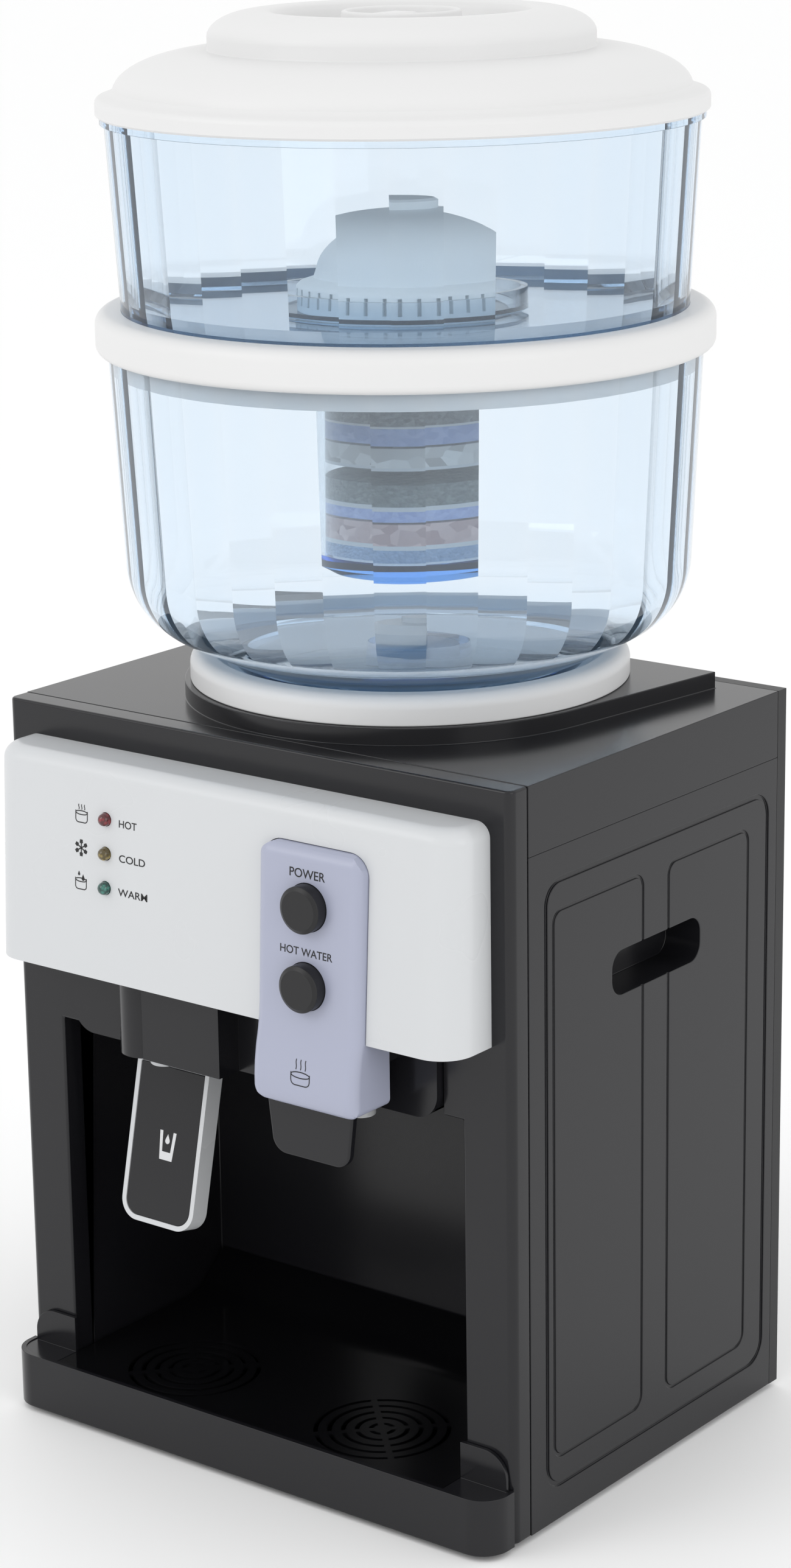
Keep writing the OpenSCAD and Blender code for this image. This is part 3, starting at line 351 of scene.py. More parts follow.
def moulded(name, code, roughness, mottle_mm=45.0, peel_mm=1.4, peel=0.012, shade=0.02, **surface):
    """Moulded plastic: the gloss drifts a little across the skin.

    A faint orange peel bends the reflections."""
    material, tree = new_material(name)
    place = add(tree, "ShaderNodeTexCoord").outputs["Object"]
    drift = add(tree, "ShaderNodeTexNoise", {"Scale": 1000 / mottle_mm, "Detail": 2.0}, {"Vector": place})
    fine = add(tree, "ShaderNodeTexNoise", {"Scale": 1000 / peel_mm, "Detail": 1.0}, {"Vector": place})
    base = colour(code)
    dark = tuple(c * (1 - shade) for c in base[:3]) + (1,)
    ramp = add(tree, "ShaderNodeValToRGB", None, {"Fac": drift.outputs["Fac"]})
    ramp.color_ramp.elements[0].position, ramp.color_ramp.elements[1].position = 0.3, 0.7
    ramp.color_ramp.elements[0].color, ramp.color_ramp.elements[1].color = dark, base
    rough = add(tree, "ShaderNodeMapRange", {"To Min": roughness * 0.9, "To Max": roughness * 1.1},
                {"Value": drift.outputs["Fac"]})
    bump = add(tree, "ShaderNodeBump", {"Strength": peel, "Distance": 0.0002},
               {"Height": fine.outputs["Fac"]})
    shader = add(tree, "ShaderNodeBsdfPrincipled", surface.get("inputs"),
                 {"Base Color": ramp.outputs["Color"], "Roughness": rough.outputs["Result"],
                  "Normal": bump.outputs["Normal"]})
    add(tree, "ShaderNodeOutputMaterial", None, {"Surface": shader.outputs["BSDF"]})
    return material


def sheet_metal(name, code, roughness, grain_mm=0.6, along=(1.0, 30.0, 1.0)):
    """Rolled or brushed metal: the grain is stretched along one direction."""
    material, tree = new_material(name)
    place = add(tree, "ShaderNodeTexCoord").outputs["Object"]
    turned = add(tree, "ShaderNodeMapping", {"Scale": along}, {"Vector": place})
    grain = add(tree, "ShaderNodeTexNoise", {"Scale": 1000 / grain_mm / 30, "Detail": 3.0},
                {"Vector": turned.outputs["Vector"]})
    rough = add(tree, "ShaderNodeMapRange", {"To Min": roughness * 0.7, "To Max": roughness * 1.3},
                {"Value": grain.outputs["Fac"]})
    shader = add(tree, "ShaderNodeBsdfPrincipled", {"Base Color": colour(code), "Metallic": 1.0},
                 {"Roughness": rough.outputs["Result"]})
    add(tree, "ShaderNodeOutputMaterial", None, {"Surface": shader.outputs["BSDF"]})
    return material


def clear_plastic(name, tint, density, haze, roughness=0.01):
    """Clear moulded plastic, IOR 1.49, tinted through its depth.

    Thick edges turn a deeper blue, and the skin has a slight haze."""
    material, tree = new_material(name)
    place = add(tree, "ShaderNodeTexCoord").outputs["Object"]
    ripple = add(tree, "ShaderNodeTexNoise", {"Scale": 1000 / 30.0, "Detail": 1.0}, {"Vector": place})
    bump = add(tree, "ShaderNodeBump", {"Strength": 0.03, "Distance": 0.0004},
               {"Height": ripple.outputs["Fac"]})
    glass = add(tree, "ShaderNodeBsdfPrincipled",
                {"Base Color": (1.0, 1.0, 1.0, 1), "Transmission Weight": 1.0, "IOR": 1.49,
                 "Roughness": roughness},
                {"Normal": bump.outputs["Normal"]})
    cloud = add(tree, "ShaderNodeBsdfTranslucent", {"Color": colour(haze)})
    bloom = add(tree, "ShaderNodeBsdfDiffuse", {"Color": colour(haze)})
    milk = add(tree, "ShaderNodeMixShader", {0: 0.5}, {1: cloud.outputs["BSDF"], 2: bloom.outputs["BSDF"]})
    body = add(tree, "ShaderNodeMixShader", {0: 0.025}, {1: glass.outputs["BSDF"], 2: milk.outputs["Shader"]})
    through = add(tree, "ShaderNodeBsdfTransparent", {"Color": (0.88, 0.95, 1.0, 1)})
    ray = add(tree, "ShaderNodeLightPath")
    both = add(tree, "ShaderNodeMixShader", None,
               {0: ray.outputs["Is Shadow Ray"], 1: body.outputs["Shader"], 2: through.outputs["BSDF"]})
    depth = add(tree, "ShaderNodeVolumeAbsorption", {"Color": colour(tint), "Density": density})
    add(tree, "ShaderNodeOutputMaterial", None,
        {"Surface": both.outputs["Shader"], "Volume": depth.outputs["Volume"]})
    return material


def grains(name, dark, light, grain_mm, roughness=0.7):
    """Loose grains of one size: a cell pattern gives each grain its own shade, and its edges sink."""
    material, tree = new_material(name)
    place = add(tree, "ShaderNodeTexCoord").outputs["Object"]
    cells = add(tree, "ShaderNodeTexVoronoi", {"Scale": 1000 / grain_mm, "Randomness": 1.0},
                {"Vector": place})
    ramp = add(tree, "ShaderNodeValToRGB", None, {"Fac": cells.outputs["Color"]})
    ramp.color_ramp.elements[0].color, ramp.color_ramp.elements[1].color = colour(dark), colour(light)
    bump = add(tree, "ShaderNodeBump", {"Strength": 0.6, "Distance": 0.001},
               {"Height": cells.outputs["Distance"]})
    bump.invert = True
    shader = add(tree, "ShaderNodeBsdfPrincipled", {"Roughness": roughness},
                 {"Base Color": ramp.outputs["Color"], "Normal": bump.outputs["Normal"]})
    add(tree, "ShaderNodeOutputMaterial", None, {"Surface": shader.outputs["BSDF"]})
    return material


def lens(name, code, core):
    """Tinted light pipe: dark and glassy when it is off, with the chip showing paler in the middle."""
    material, tree = new_material(name)
    place = add(tree, "ShaderNodeTexCoord").outputs["Object"]
    spots = add(tree, "ShaderNodeTexVoronoi", {"Scale": 1000 / 2.2}, {"Vector": place})
    ramp = add(tree, "ShaderNodeValToRGB", None, {"Fac": spots.outputs["Distance"]})
    ramp.color_ramp.elements[0].color, ramp.color_ramp.elements[1].color = colour(core), colour(code)
    ramp.color_ramp.elements[1].position = 0.55
    shader = add(tree, "ShaderNodeBsdfPrincipled",
                 {"Roughness": 0.08, "Coat Weight": 0.6, "Coat Roughness": 0.03},
                 {"Base Color": ramp.outputs["Color"]})
    add(tree, "ShaderNodeOutputMaterial", None, {"Surface": shader.outputs["BSDF"]})
    return material


FINISH = {
    # ABS from a polished mould: charcoal, with clear soft reflections
    "black_gloss": moulded("black_gloss_abs", "#19191C", 0.20, inputs={"Specular IOR Level": 0.38}),
    # the deck is polished brighter than the covers
    "deck_gloss": moulded("black_deck_abs", "#0C0C0E", 0.08, peel=0.008, inputs={"Specular IOR Level": 0.5}),
    # ABS from a spark-eroded mould: a fine dry grain
    "black_satin": moulded("black_satin_abs", "#161618", 0.40, peel_mm=0.9, peel=0.08,
                           inputs={"Specular IOR Level": 0.4}),
    # white ABS with a soft gloss
    "white_gloss": moulded("white_abs", "#CBCDCF", 0.28, shade=0.006, inputs={"Specular IOR Level": 0.35}),
    # lilac-grey ABS of the control pod
    "lilac_grey": moulded("lilac_grey_abs", "#A3A7BA", 0.3, shade=0.006),
    "clear_blue": clear_plastic("clear_blue_san", "#4CC8FF", 30.0, "#CDEAFF"),
    "led_red": lens("red_light_pipe", "#4A0A10", "#A03038"),
    "led_amber": lens("amber_light_pipe", "#4A3D12", "#A89450"),
    "led_green": lens("green_light_pipe", "#0C3A34", "#3F8A7C"),
    "circuit_board": moulded("solder_mask", "#12502A", 0.35, peel_mm=3.0, peel=0.1),
    "silicone": moulded("silicone_rubber", "#D8D8D0", 0.5, peel=0.05),
    "rubber_black": moulded("foot_rubber", "#151515", 0.7, peel_mm=0.7, peel=0.2),
    "steel": sheet_metal("stainless_steel", "#C4C5C7", 0.28),
    "galvanised": sheet_metal("galvanised_steel", "#A9ADB0", 0.42, grain_mm=4.0, along=(1.0, 1.0, 1.0)),
    "aluminium": sheet_metal("extruded_aluminium", "#D5D7DA", 0.33, along=(1.0, 1.0, 30.0)),
    "foam": grains("expanded_foam", "#CFCBB8", "#E6E2D2", 3.5, 0.9),
    "ceramic": moulded("porous_ceramic", "#F4FAFD", 0.6, peel_mm=0.6, peel=0.25, shade=0.03),
    "filter_grain": grains("filter_grains", "#3C3A3A", "#8A8480", 2.6),
    "rocker_red": moulded("red_rocker", "#A81812", 0.2),
    "rocker_green": moulded("green_rocker", "#157A34", 0.2),
}
INK = moulded("pad_print_ink", "#0E0E10", 0.5, peel=0.0)
# the tank's white parts are a whiter, softer polypropylene
TANK_WHITE = moulded("white_polypropylene", "#DCDCDC", 0.4, shade=0.006, inputs={"Specular IOR Level": 0.3})
WHITE_INK = moulded("white_print_ink", "#D5D6D8", 0.5, peel=0.0)

SLOTS = {row["node"]: row["material_slot"] for row in frame["record"]["subparts"]}
for node, obj in frame["nodes"].items():
    obj.data.materials.clear()
    obj.data.materials.append(FINISH[SLOTS[node]])


def dress(obj, slot, body="root", replaces=(), material=None):
    """Gives a finished piece the material of its slot and its body, and hides the CAD nodes that it stands
    for.
    """
    obj.data.materials.clear()
    obj.data.materials.append(material or FINISH[slot])
    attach(obj, body)
    if replaces:
        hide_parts(*replaces)
    return obj


def finish_cad(node, width, body="root", slot=None):
    """The CAD piece itself, with the rounded edges that its mould leaves."""
    obj = soften(cad_copy(node, node + "_finished"), width)
    return dress(obj, slot or SLOTS[node], body, [node])


# ---------- cabinet ----------
finish_cad("front_frame", 1.6)
finish_cad("side_panel_left", 0.35)
finish_cad("side_panel_right", 0.35)
finish_cad("top_cover", 1.0)
finish_cad("rear_panel", 0.4)
finish_cad("niche_liner", 0.8)
finish_cad("tap_housing", 1.2)
finish_cad("feet", 0.8)

# ---------- control panel ----------
PANEL_Z0, PANEL_Z1, PANEL_X, PANEL_ROLL = 234.0, 335.0, 134.0, 7.0


def rolled(half_w, z0, z1, roll, inset=0.0):
    """Levels of the panel: the face leans back, and the upper edge rolls over in a quarter circle."""
    levels = [(z0, (-half_w, half_w), (inset - panel_face(z0), 0.0))]
    for i in range(9):
        a = radians(90 * i / 8)
        z, back = z1 - roll + roll * sin(a), roll * (1 - cos(a))
        levels.append((z, (back - half_w, half_w - back), (inset + back - panel_face(z), 0.0)))
    return levels


def control_panel():
    """The white hood: its upper edge rolls over, and its lower edge is crisp."""
    plan = rounded(-PANEL_X, -panel_face(PANEL_Z0), PANEL_X, 0, (16, 16, 0, 0), 12)
    obj = loft("control_panel_hood", plan, rolled(PANEL_X, PANEL_Z0, PANEL_Z1, PANEL_ROLL))
    inner_x = PANEL_X - 3
    inner_plan = rounded(-inner_x, 3 - panel_face(PANEL_Z0 - 5), inner_x, 0, (13, 13, 0, 0), 12)
    hollow = loft("panel_hollow", inner_plan, rolled(inner_x, PANEL_Z0 - 5, PANEL_Z1 - 3, 4, 3.0))
    back_cut = block("back_cut", (-inner_x, -6, PANEL_Z0 - 5), (inner_x, 5, PANEL_Z1 - 4))
    window = rounded(POD_X0 - 0.4, PANEL_Z0 - 5, POD_X1 + 0.4, POD_Z1 + 0.4, (0, 0, 10.4, 10.4))
    pod_gap = outline_face("pod_gap", [(x, -60, z) for x, z in window], (0, 65, 0))
    holes = [rod("lamp_hole", (LAMP_X, -60, z), (LAMP_X, -5, z), 3.25, 32) for z in LAMP_ZS]
    combine(obj, "DIFFERENCE", [hollow, back_cut, pod_gap] + holes)
    clean(obj, 0.2)
    soften(obj, 0.4, 40, 2)
    return dress(obj, "white_gloss", "root", ["control_panel"])


control_panel()


def light_pipe(node, z):
    """Domed end of a light pipe, in its hole in the panel."""
    face = -panel_face(z)
    outline = [(0, 0)] + [(3.0, 0), (3.0, 12.0)] + arc(0, 12.0, 3.0, 20, 90, 6)
    obj = lathe(node + "_lens", outline, 32, (LAMP_X, face + 11.0, z), (0, -1, 0))
    smooth(obj, 50)
    return dress(obj, SLOTS[node], "root", [node])


for node, z in zip(("led_red", "led_amber", "led_green"), LAMP_ZS):
    light_pipe(node, z)


# how far the pod's face stands out, from its lower edge up
POD_CURVE = [(201, 36.5), (202, 38.2), (204, 39.4), (207, 40), (212, 40), (218, 39.5), (225, 38.3),
             (232, 36.6), (238, 35.5), (244, 34.96), (312, 31.3), (315, 30.3), (317, 28.4), (318, 26)]


def pod_surface(z):
    """How far the pod's face stands out at any height."""
    for (z0, y0), (z1, y1) in zip(POD_CURVE, POD_CURVE[1:]):
        if z <= z1:
            return y0 + (y1 - y0) * (z - z0) / (z1 - z0)
    return POD_CURVE[-1][1]


def control_pod():
    """The lilac pod: sections stacked along its curved face.

    They are then trimmed from the front to the pod's rounded corners."""
    plan = rounded(POD_X0, -POD_CURVE[0][1], POD_X1, 0, (6, 6, 0, 0), 8)
    levels = [(z, (POD_X0, POD_X1), (-out, 0.0)) for z, out in POD_CURVE]
    obj = loft("control_pod_shell", plan, levels)
    front = rounded(POD_X0, POD_Z0, POD_X1, POD_Z1, (12, 4, 10, 10), 10)
    trim = outline_face("pod_trim", [(x, -60, z) for x, z in front], (0, 70, 0))
    combine(obj, "INTERSECT", [trim])
    # below the panel only the front and the right cheek go on down
    below = block("pod_notch", (POD_X0 - 2, -31.5, POD_Z0 - 5), (POD_X1 - 2.5, 2, 233.4))
    behind = block("pod_back_cut", (POD_X0 - 2, -13, POD_Z0 - 5), (POD_X1 + 2, 2, 233.5))
    wells = [rod("button_well", (BUTTON_X, -60, z), (BUTTON_X, -26, z), 11.0)
             for z in (POWER_Z, HOT_BUTTON_Z)]
    combine(obj, "DIFFERENCE", [below, behind] + wells)
    clean(obj, 0.2)
    soften(obj, 1.0, 48, 3)
    return dress(obj, "lilac_grey", "root", ["control_pod"])


control_pod()


def push_button(node, z):
    """A cap with a chamfered rim round its face."""
    depth = pod_face(z) + BUTTON_OUT - BUTTON_BACK
    outline = [(0, 0), (12.5, 0), (12.5, 1.5), (10.7, 1.5), (10.7, depth - 1.4)]
    outline += arc(10.1, depth - 1.4, 0.6, 0, 60, 3) + [(9.3, depth - 0.3), (8.9, depth), (0, depth)]
    obj = lathe(node + "_cap", outline, 72, (BUTTON_X, -BUTTON_BACK, z), (0, -1, 0))
    smooth(obj, 30)
    return dress(obj, "black_satin", node, [node])


push_button("power_button", POWER_Z)
push_button("hot_water_button", HOT_BUTTON_Z)

# ---------- printed marks ----------
LINE = 0.45


def cup_mark(x, z, w, h, face):
    """A cup with a rounded foot and an oval water line; (x, z) is its lower left corner."""
    r = 0.22 * w
    foot = [(x, z + h), (x, z + r)] + arc(x + r, z + r, r, 180, 270, 4)[1:]
    foot += arc(x + w - r, z + r, r, 270, 360, 4) + [(x + w, z + h)]
    shapes = [mark(stroke(foot, LINE), face)]
    for side in (0, 180):
        oval = [(x + w / 2 + w / 2 * cos(radians(a + side)), z + 0.84 * h + 0.13 * w * sin(radians(a + side)))
                for a in range(0, 181, 18)]
        shapes.append(mark(stroke(oval, LINE), face))
    return shapes


def steam_mark(x, z, step, h, face):
    """Three wavy lines of steam."""
    shapes = []
    for i in (-1, 0, 1):
        wave = [(x + i * step + 0.18 * sin(2 * pi * t / 8), z + h * t / 8) for t in range(9)]
        shapes.append(mark(stroke(wave, LINE * 0.9), face))
    return shapes


def drop_mark(x, z, h, face):
    """A drop with its point up."""
    r = 0.3 * h
    return mark([(x, z + h)] + arc(x, z + r, r, 150, 390, 10), face)


def flake_mark(x, z, r, face):
    """Six arms, each thicker at its tip."""
    shapes = []
    for i in range(6):
        a = radians(90 + 60 * i)
        arm = [(0.0, -0.28), (0.5 * r, -0.28), (0.62 * r, -1.0), (r, -0.75), (r, 0.75), (0.62 * r, 1.0),
               (0.5 * r, 0.28), (0.0, 0.28)]
        turned = [(x + p * cos(a) - q * sin(a), z + p * sin(a) + q * cos(a)) for p, q in arm]
        shapes.append(mark(turned, face))
    return shapes


panel_marks = cup_mark(-81.2, 306.2, 7.0, 5.4, panel_face) + steam_mark(-77.6, 312.2, 1.7, 2.4, panel_face)
panel_marks += flake_mark(-77.8, 294.3, 3.9, panel_face)
panel_marks += cup_mark(-81.2, 274.9, 6.6, 5.2, panel_face)
panel_marks += [drop_mark(-79.1, 281.2, 2.2, panel_face), drop_mark(-76.6, 279.0, 3.0, panel_face)]
panel_marks += [word("HOT", -55.0, 307.6, 3.4, 10.6, panel_face),
                word("COLD", -54.8, 291.6, 3.4, 15.6, panel_face),
                word("WARM", -55.3, 275.8, 3.4, 17.6, panel_face)]
panel_print = together(*panel_marks)
panel_print.name = panel_print.data.name = "panel_print"
dress(panel_print, None, material=INK)

pod_marks = cup_mark(53.9, 212.4, 10.4, 5.6, pod_surface) + steam_mark(59.1, 219.4, 2.6, 4.6, pod_surface)
pod_marks += [word("POWER", 49.2, 304.9, 4.0, 19.6, pod_surface),
              word("HOT WATER", 44.5, 270.1, 3.5, 29.0, pod_surface)]
pod_print = together(*pod_marks)
pod_print.name = pod_print.data.name = "pod_print"
dress(pod_print, None, material=INK)

# ---------- filter tank ----------
SHOULDER_R = 36.0
FLUTES = 36


def fluted(name, outer, inner, turn):
    """A clear vessel, round outside and with flat flutes inside."""
    shell = lathe(name, outer + [(0, outer[-1][1])], 144, turn=turn)
    above = outer[-1][1] + 5
    space = lathe(name + "_space", inner + [(inner[-1][0], above), (0, above)], FLUTES, turn=turn)
    combine(shell, "DIFFERENCE", [space])
    return smooth(shell, 5.5)


lower_outer = [(0, SEAT_Z - 14), (24, SEAT_Z - 14), (24, SEAT_Z + 3), (72, SEAT_Z + 4), (73, SEAT_Z)]
lower_outer += [(81, SEAT_Z), (82, SEAT_Z + 1), (84, SEAT_Z + 4)]
lower_outer += arc(131 - SHOULDER_R, SEAT_Z + 50, SHOULDER_R, 286, 360, 20)
lower_outer += [(136, RING_Z)]
lower_inner = [(0, SEAT_Z + 6.5), (21.5, SEAT_Z + 6.5), (78, SEAT_Z + 7)]
lower_inner += arc(128 - 33, SEAT_Z + 50, 33, 292, 360, 16)
lower_inner += [(133.2, RING_Z)]
lower = fluted("lower_tank_shell", lower_outer, lower_inner, 0.86)
dress(lower, "clear_blue", "tank", ["lower_tank"])

bowl_outer = [(0, BOWL_Z - 8), (129, BOWL_Z - 8), (129.5, BOWL_Z), (134.5, RIM_Z - 3), (136.5, RIM_Z - 3),
              (136.5, RIM_Z)]
bowl_inner = [(0, BOWL_Z - 4), (117, BOWL_Z - 4), (122, BOWL_Z - 3), (125.3, BOWL_Z + 1), (126.6, BOWL_Z + 6),
              (131.5, RIM_Z)]
bowl = fluted("upper_bowl_shell", bowl_outer, bowl_inner, 4.86)
dress(bowl, "clear_blue", "bowl", ["upper_bowl"])


def middle_ring():
    """White ring with fine ribs round its face; the partition of the bowl lies in it."""
    plug = 132.6
    outline = [(0, BOWL_Z - 11), (plug - 2, BOWL_Z - 11), (plug - 2, RING_Z - 8), (plug, RING_Z - 8)]
    outline += [(plug, RING_Z)]
    outline += arc(RING_R - 4, RING_Z + 4, 4, 270, 360, 5)
    outline += arc(RING_R - 6, BOWL_Z - 6, 6, 0, 90, 8)
    outline += [(130.0, BOWL_Z), (130.0, BOWL_Z - 8.5), (0, BOWL_Z - 8.5)]
    obj = lathe("middle_ring_ribbed", outline, 288)
    pick(obj)
    axis = at(0, TANK_Y, 0)
    low, high = at(0, 0, RING_Z + 2).z, at(0, 0, BOWL_Z - 3).z
    for vertex in obj.data.vertices:
        away = vertex.co - axis
        column = round(degrees(atan2(away.y, away.x)) / 1.25) % 2
        vertex.select = low < vertex.co.z < high and away.xy.length > (RING_R - 3) * MM and column == 1
    bpy.ops.object.mode_set(mode="EDIT")
    shrink = 1 - 0.45 / RING_R
    bpy.ops.transform.resize(value=(shrink, shrink, 1), center_override=axis)
    bpy.ops.object.mode_set(mode="OBJECT")
    smooth(obj, 40)
    return dress(obj, "white_gloss", "bowl", ["middle_ring"], TANK_WHITE)


middle_ring()


def crown(cx, cz, a, b, start, end, n):
    """Points along an ellipse's edge."""
    turns = [radians(start + (end - start) * i / n) for i in range(n + 1)]
    return [(cx + a * cos(t), cz + b * sin(t)) for t in turns]


def lid():
    """Two domed steps, a recess in the upper one, and a round knob with a finger tab."""
    top = LID_TOP
    step_r, step_z = LID_R - 51, RIM_Z + 34
    lower, upper = LID_R - 8 - step_r, step_r - 65
    outline = [(129, RIM_Z), (LID_R - 1, RIM_Z), (LID_R, RIM_Z + 1), (LID_R, RIM_Z + 5.5)]
    outline += arc(LID_R - 2.5, RIM_Z + 6, 2.5, 0, 80, 4) + [(LID_R - 5, RIM_Z + 9)]
    outline += crown(step_r, RIM_Z + 10, lower, 18, 5, 88, 14)
    outline += [(step_r + 0.4, RIM_Z + 28.2), (step_r, RIM_Z + 29)]
    outline += crown(65, step_z, upper, top - step_z, 0, 90, 10)
    outline += [(61, top), (59, top - 0.4), (57.5, top - 1.5), (56.4, top - 4), (55, top - 12), (0, top - 12)]
    outline += [(0, top - 14.5), (56.5, top - 14.5), (59, top - 5)]
    outline += crown(65, step_z, upper - 2.5, top - step_z - 2.5, 90, 0, 10) + [(step_r - 2.5, RIM_Z + 25.5)]
    outline += crown(step_r, RIM_Z + 10, lower - 2.5, 15.5, 88, 10, 12)
    outline += [(LID_R - 10.5, RIM_Z + 8), (129, RIM_Z + 3)]
    shell = lathe("lid_shell", outline, 144)
    smooth(shell, 30)
    knob = [(0, top - 12), (28.5, top - 12), (27, top - 3)] + arc(25.6, top - 1.9, 1.4, 10, 170, 6)
    knob += [(23.8, top - 6), (22, top - 8), (0, top - 8.5)]
    boss = smooth(lathe("lid_knob", knob, 96), 30)
    tab = soften(block("lid_tab", (-7, TANK_Y - 24, top - 12), (7, TANK_Y + 4, top - 1.5)), 1.6)
    together(shell, boss, tab)
    return dress(shell, "white_gloss", "lid", ["lid"], TANK_WHITE)


lid()

# frosted ceramic dome, its cap nut and the slotted skirt
dome = [(0, BOWL_Z - 6), (46, BOWL_Z - 6), (46, BOWL_Z + 9), (45, BOWL_Z + 11), (42, BOWL_Z + 13)]
dome += arc(14, BOWL_Z + 15, 27.5, 4, 76, 12) + [(12, BOWL_Z + 43.2), (11, BOWL_Z + 43.6), (11, BOWL_Z + 47)]
dome += [(10, BOWL_Z + 48), (0, BOWL_Z + 48)]
dome_obj = lathe("ceramic_dome_body", dome, 96)
slots = []
for i in range(48):
    deselect()
    a = radians(i * 7.5)
    spot = at(46 * cos(a), TANK_Y + 46 * sin(a), BOWL_Z + 4.5)
    bpy.ops.mesh.primitive_cube_add(size=1, location=spot, scale=(5 * MM, 1.3 * MM, 8 * MM),
                                    rotation=(0, 0, a))
    slots.append(named("skirt_slot"))
all_slots = together(*slots)
combine(dome_obj, "DIFFERENCE", [all_slots])
smooth(dome_obj, 30)
dress(dome_obj, "ceramic", "bowl", ["ceramic_dome"])

dish_outline = [(0, BOWL_Z - 4), (52, BOWL_Z - 4), (54, BOWL_Z - 2), (54, BOWL_Z + 8), (52.5, BOWL_Z + 8),
                (52, BOWL_Z), (50, BOWL_Z - 2.2), (0, BOWL_Z - 2.2)]
dish = smooth(lathe("dome_dish_clear", dish_outline, 96), 20)
dress(dish, "clear_blue", "bowl", ["dome_dish"])

# the cartridge's layers, from the partition down: depth below it, grain colours and grain size
LAYERS = [("carbon", 12, 40, "#6E6C6A", "#9A9896", 1.4), ("zeolite", 41, 49, "#8FA0D0", "#B4C0E4", 3.0),
          ("mineral_stones", 50, 59, "#A5A09C", "#F6F4F0", 6.0),
          ("silver_carbon", 67, 77, "#5F6664", "#868C88", 1.4),
          ("ion_resin", 79, 84, "#98A8DC", "#B9C6EE", 2.0), ("red_stones", 85, 95, "#A88080", "#EBCFC8", 5.0),
          ("fine_sand", 97, 103, "#7E9CC0", "#9DB8D8", 1.4)]
MEDIA_R = 33.7
for layer, top, bottom, dark, light, grain in LAYERS:
    puck = rod(layer + "_layer", (0, TANK_Y, BOWL_Z - 11 - bottom), (0, TANK_Y, BOWL_Z - 11 - top),
               MEDIA_R, 96)
    smooth(puck, 40)
    dress(puck, "filter_grain", "bowl", ["filter_media"], grains(layer, dark, light, grain))
screens = [rod("screen", (0, TANK_Y, BOWL_Z - 11 - low), (0, TANK_Y, BOWL_Z - 11 - high), MEDIA_R, 96)
           for high, low in ((40, 41), (59, 60.4), (77, 79), (95, 97))]
smooth(together(*screens), 40)
screens[0].name = screens[0].data.name = "layer_screens"
dress(screens[0], "filter_grain", "bowl", material=TANK_WHITE)

collar = finish_cad("seat_collar", 0.8)
dress(collar, SLOTS["seat_collar"], material=TANK_WHITE)

# ---------- taps and tray ----------
finish_cad("cold_paddle", 1.0, "cold_paddle")
finish_cad("cold_paddle_face", 0.6, "cold_paddle")
finish_cad("hot_lever", 1.0, "hot_lever")
finish_cad("tap_nozzles", 0.5)
finish_cad("drip_tray", 1.4, "drip_tray")
finish_cad("tray_deck", 0.35, "tray_deck")

# glass and drop on the paddle's face, in white
PADDLE_TILT = 12.6
PADDLE_FOOT_Z = 110.4


def paddle_surface(z):
    """How far the tilted paddle's face stands out at height z."""
    return 6.15 - (z - PADDLE_FOOT_Z) * tan(radians(PADDLE_TILT))


glass = [(-61.6, 152), (-59.8, 152), (-59.2, 142.4), (-54.2, 142.4), (-53.4, 152), (-51.6, 152),
         (-52.8, 138.6), (-60.4, 138.6)]
paddle_print = together(mark(glass, paddle_surface), drop_mark(-56.6, 146.2, 4.6, paddle_surface))
paddle_print.name = paddle_print.data.name = "paddle_print"
dress(paddle_print, None, "cold_paddle", material=WHITE_INK)

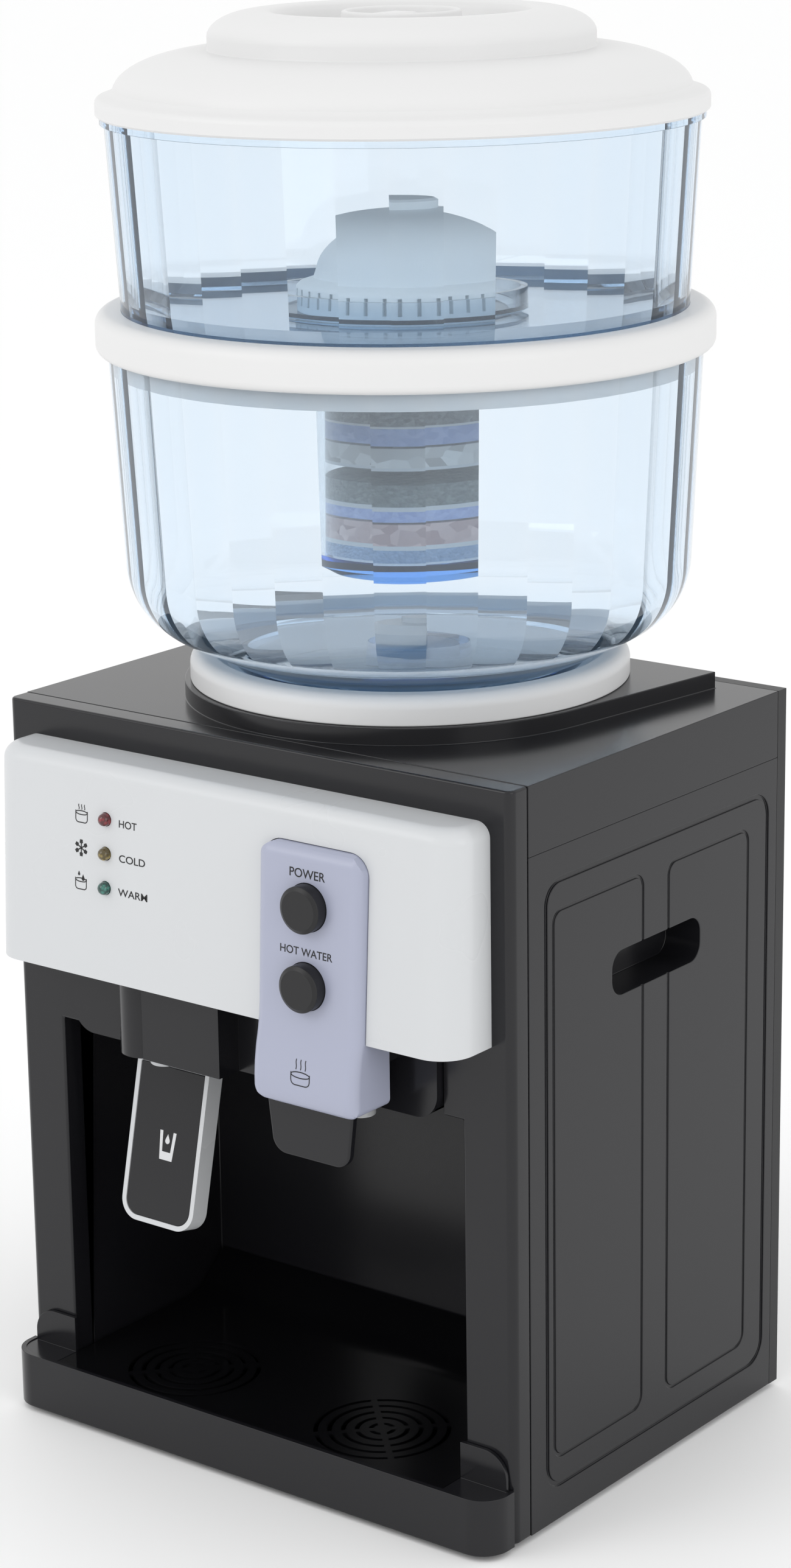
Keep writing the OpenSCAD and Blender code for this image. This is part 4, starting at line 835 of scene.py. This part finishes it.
# ---------- room ----------
deselect()
bpy.ops.mesh.primitive_plane_add(size=60, location=(0, 0, 0))
floor = named("floor")
floor_material, tree = new_material("pale_floor")
place = add(tree, "ShaderNodeTexCoord").outputs["Object"]
cloud = add(tree, "ShaderNodeTexNoise", {"Scale": 3.0}, {"Vector": place})
tone = add(tree, "ShaderNodeMapRange", {"To Min": 0.55, "To Max": 0.65}, {"Value": cloud.outputs["Fac"]})
shader = add(tree, "ShaderNodeBsdfPrincipled", {"Base Color": colour("#FBFBFB"), "Specular IOR Level": 0.1},
             {"Roughness": tone.outputs["Result"]})
add(tree, "ShaderNodeOutputMaterial", None, {"Surface": shader.outputs["BSDF"]})
floor.data.materials.append(floor_material)


def softbox(name, place, aim, size, power):
    lamp = bpy.data.lights.new(name, "AREA")
    lamp.shape, lamp.size, lamp.size_y, lamp.energy = "RECTANGLE", size[0], size[1], power
    obj = bpy.data.objects.new(name, lamp)
    bpy.context.scene.collection.objects.link(obj)
    obj.location = place
    obj.rotation_euler = (Vector(aim) - Vector(place)).to_track_quat("-Z", "Y").to_euler()
    return obj


MIDDLE = (0, 0, 0.3)
softbox("key_softbox", (-1.2, -2.0, 1.8), MIDDLE, (1.4, 1.4), 11)
softbox("side_softbox", (2.2, -0.6, 1.2), MIDDLE, (1.2, 1.6), 7)

world = bpy.data.worlds.new("studio")
bpy.context.scene.world = world
world.use_nodes = True
world.node_tree.nodes["Background"].inputs["Color"].default_value = (1, 1, 1, 1)
world.node_tree.nodes["Background"].inputs["Strength"].default_value = 1.03
bpy.context.scene.view_settings.view_transform = "Standard"

# ---------- camera ----------
AZIMUTH, ELEVATION, ROLL = radians(37.86), radians(15.60), radians(-0.85)
AIM, DISTANCE, LENS = Vector((-0.0017, -0.001, 0.3083)), 1.7594, 85.886
back = Vector((sin(AZIMUTH) * cos(ELEVATION), -cos(AZIMUTH) * cos(ELEVATION), sin(ELEVATION)))
right = Vector((cos(AZIMUTH), sin(AZIMUTH), 0))
up = back.cross(right)
across = right * cos(ROLL) + up * sin(ROLL)
above = up * cos(ROLL) - right * sin(ROLL)
camera_data = bpy.data.cameras.new("camera")
camera_data.lens, camera_data.sensor_width, camera_data.sensor_fit = LENS, 36.0, "AUTO"
camera = bpy.data.objects.new("camera", camera_data)
bpy.context.scene.collection.objects.link(camera)
turn = Matrix((across, above, back)).transposed().to_4x4()
camera.matrix_world = Matrix.Translation(AIM + back * DISTANCE) @ turn
bpy.context.scene.camera = camera


bpy.context.view_layer.update()
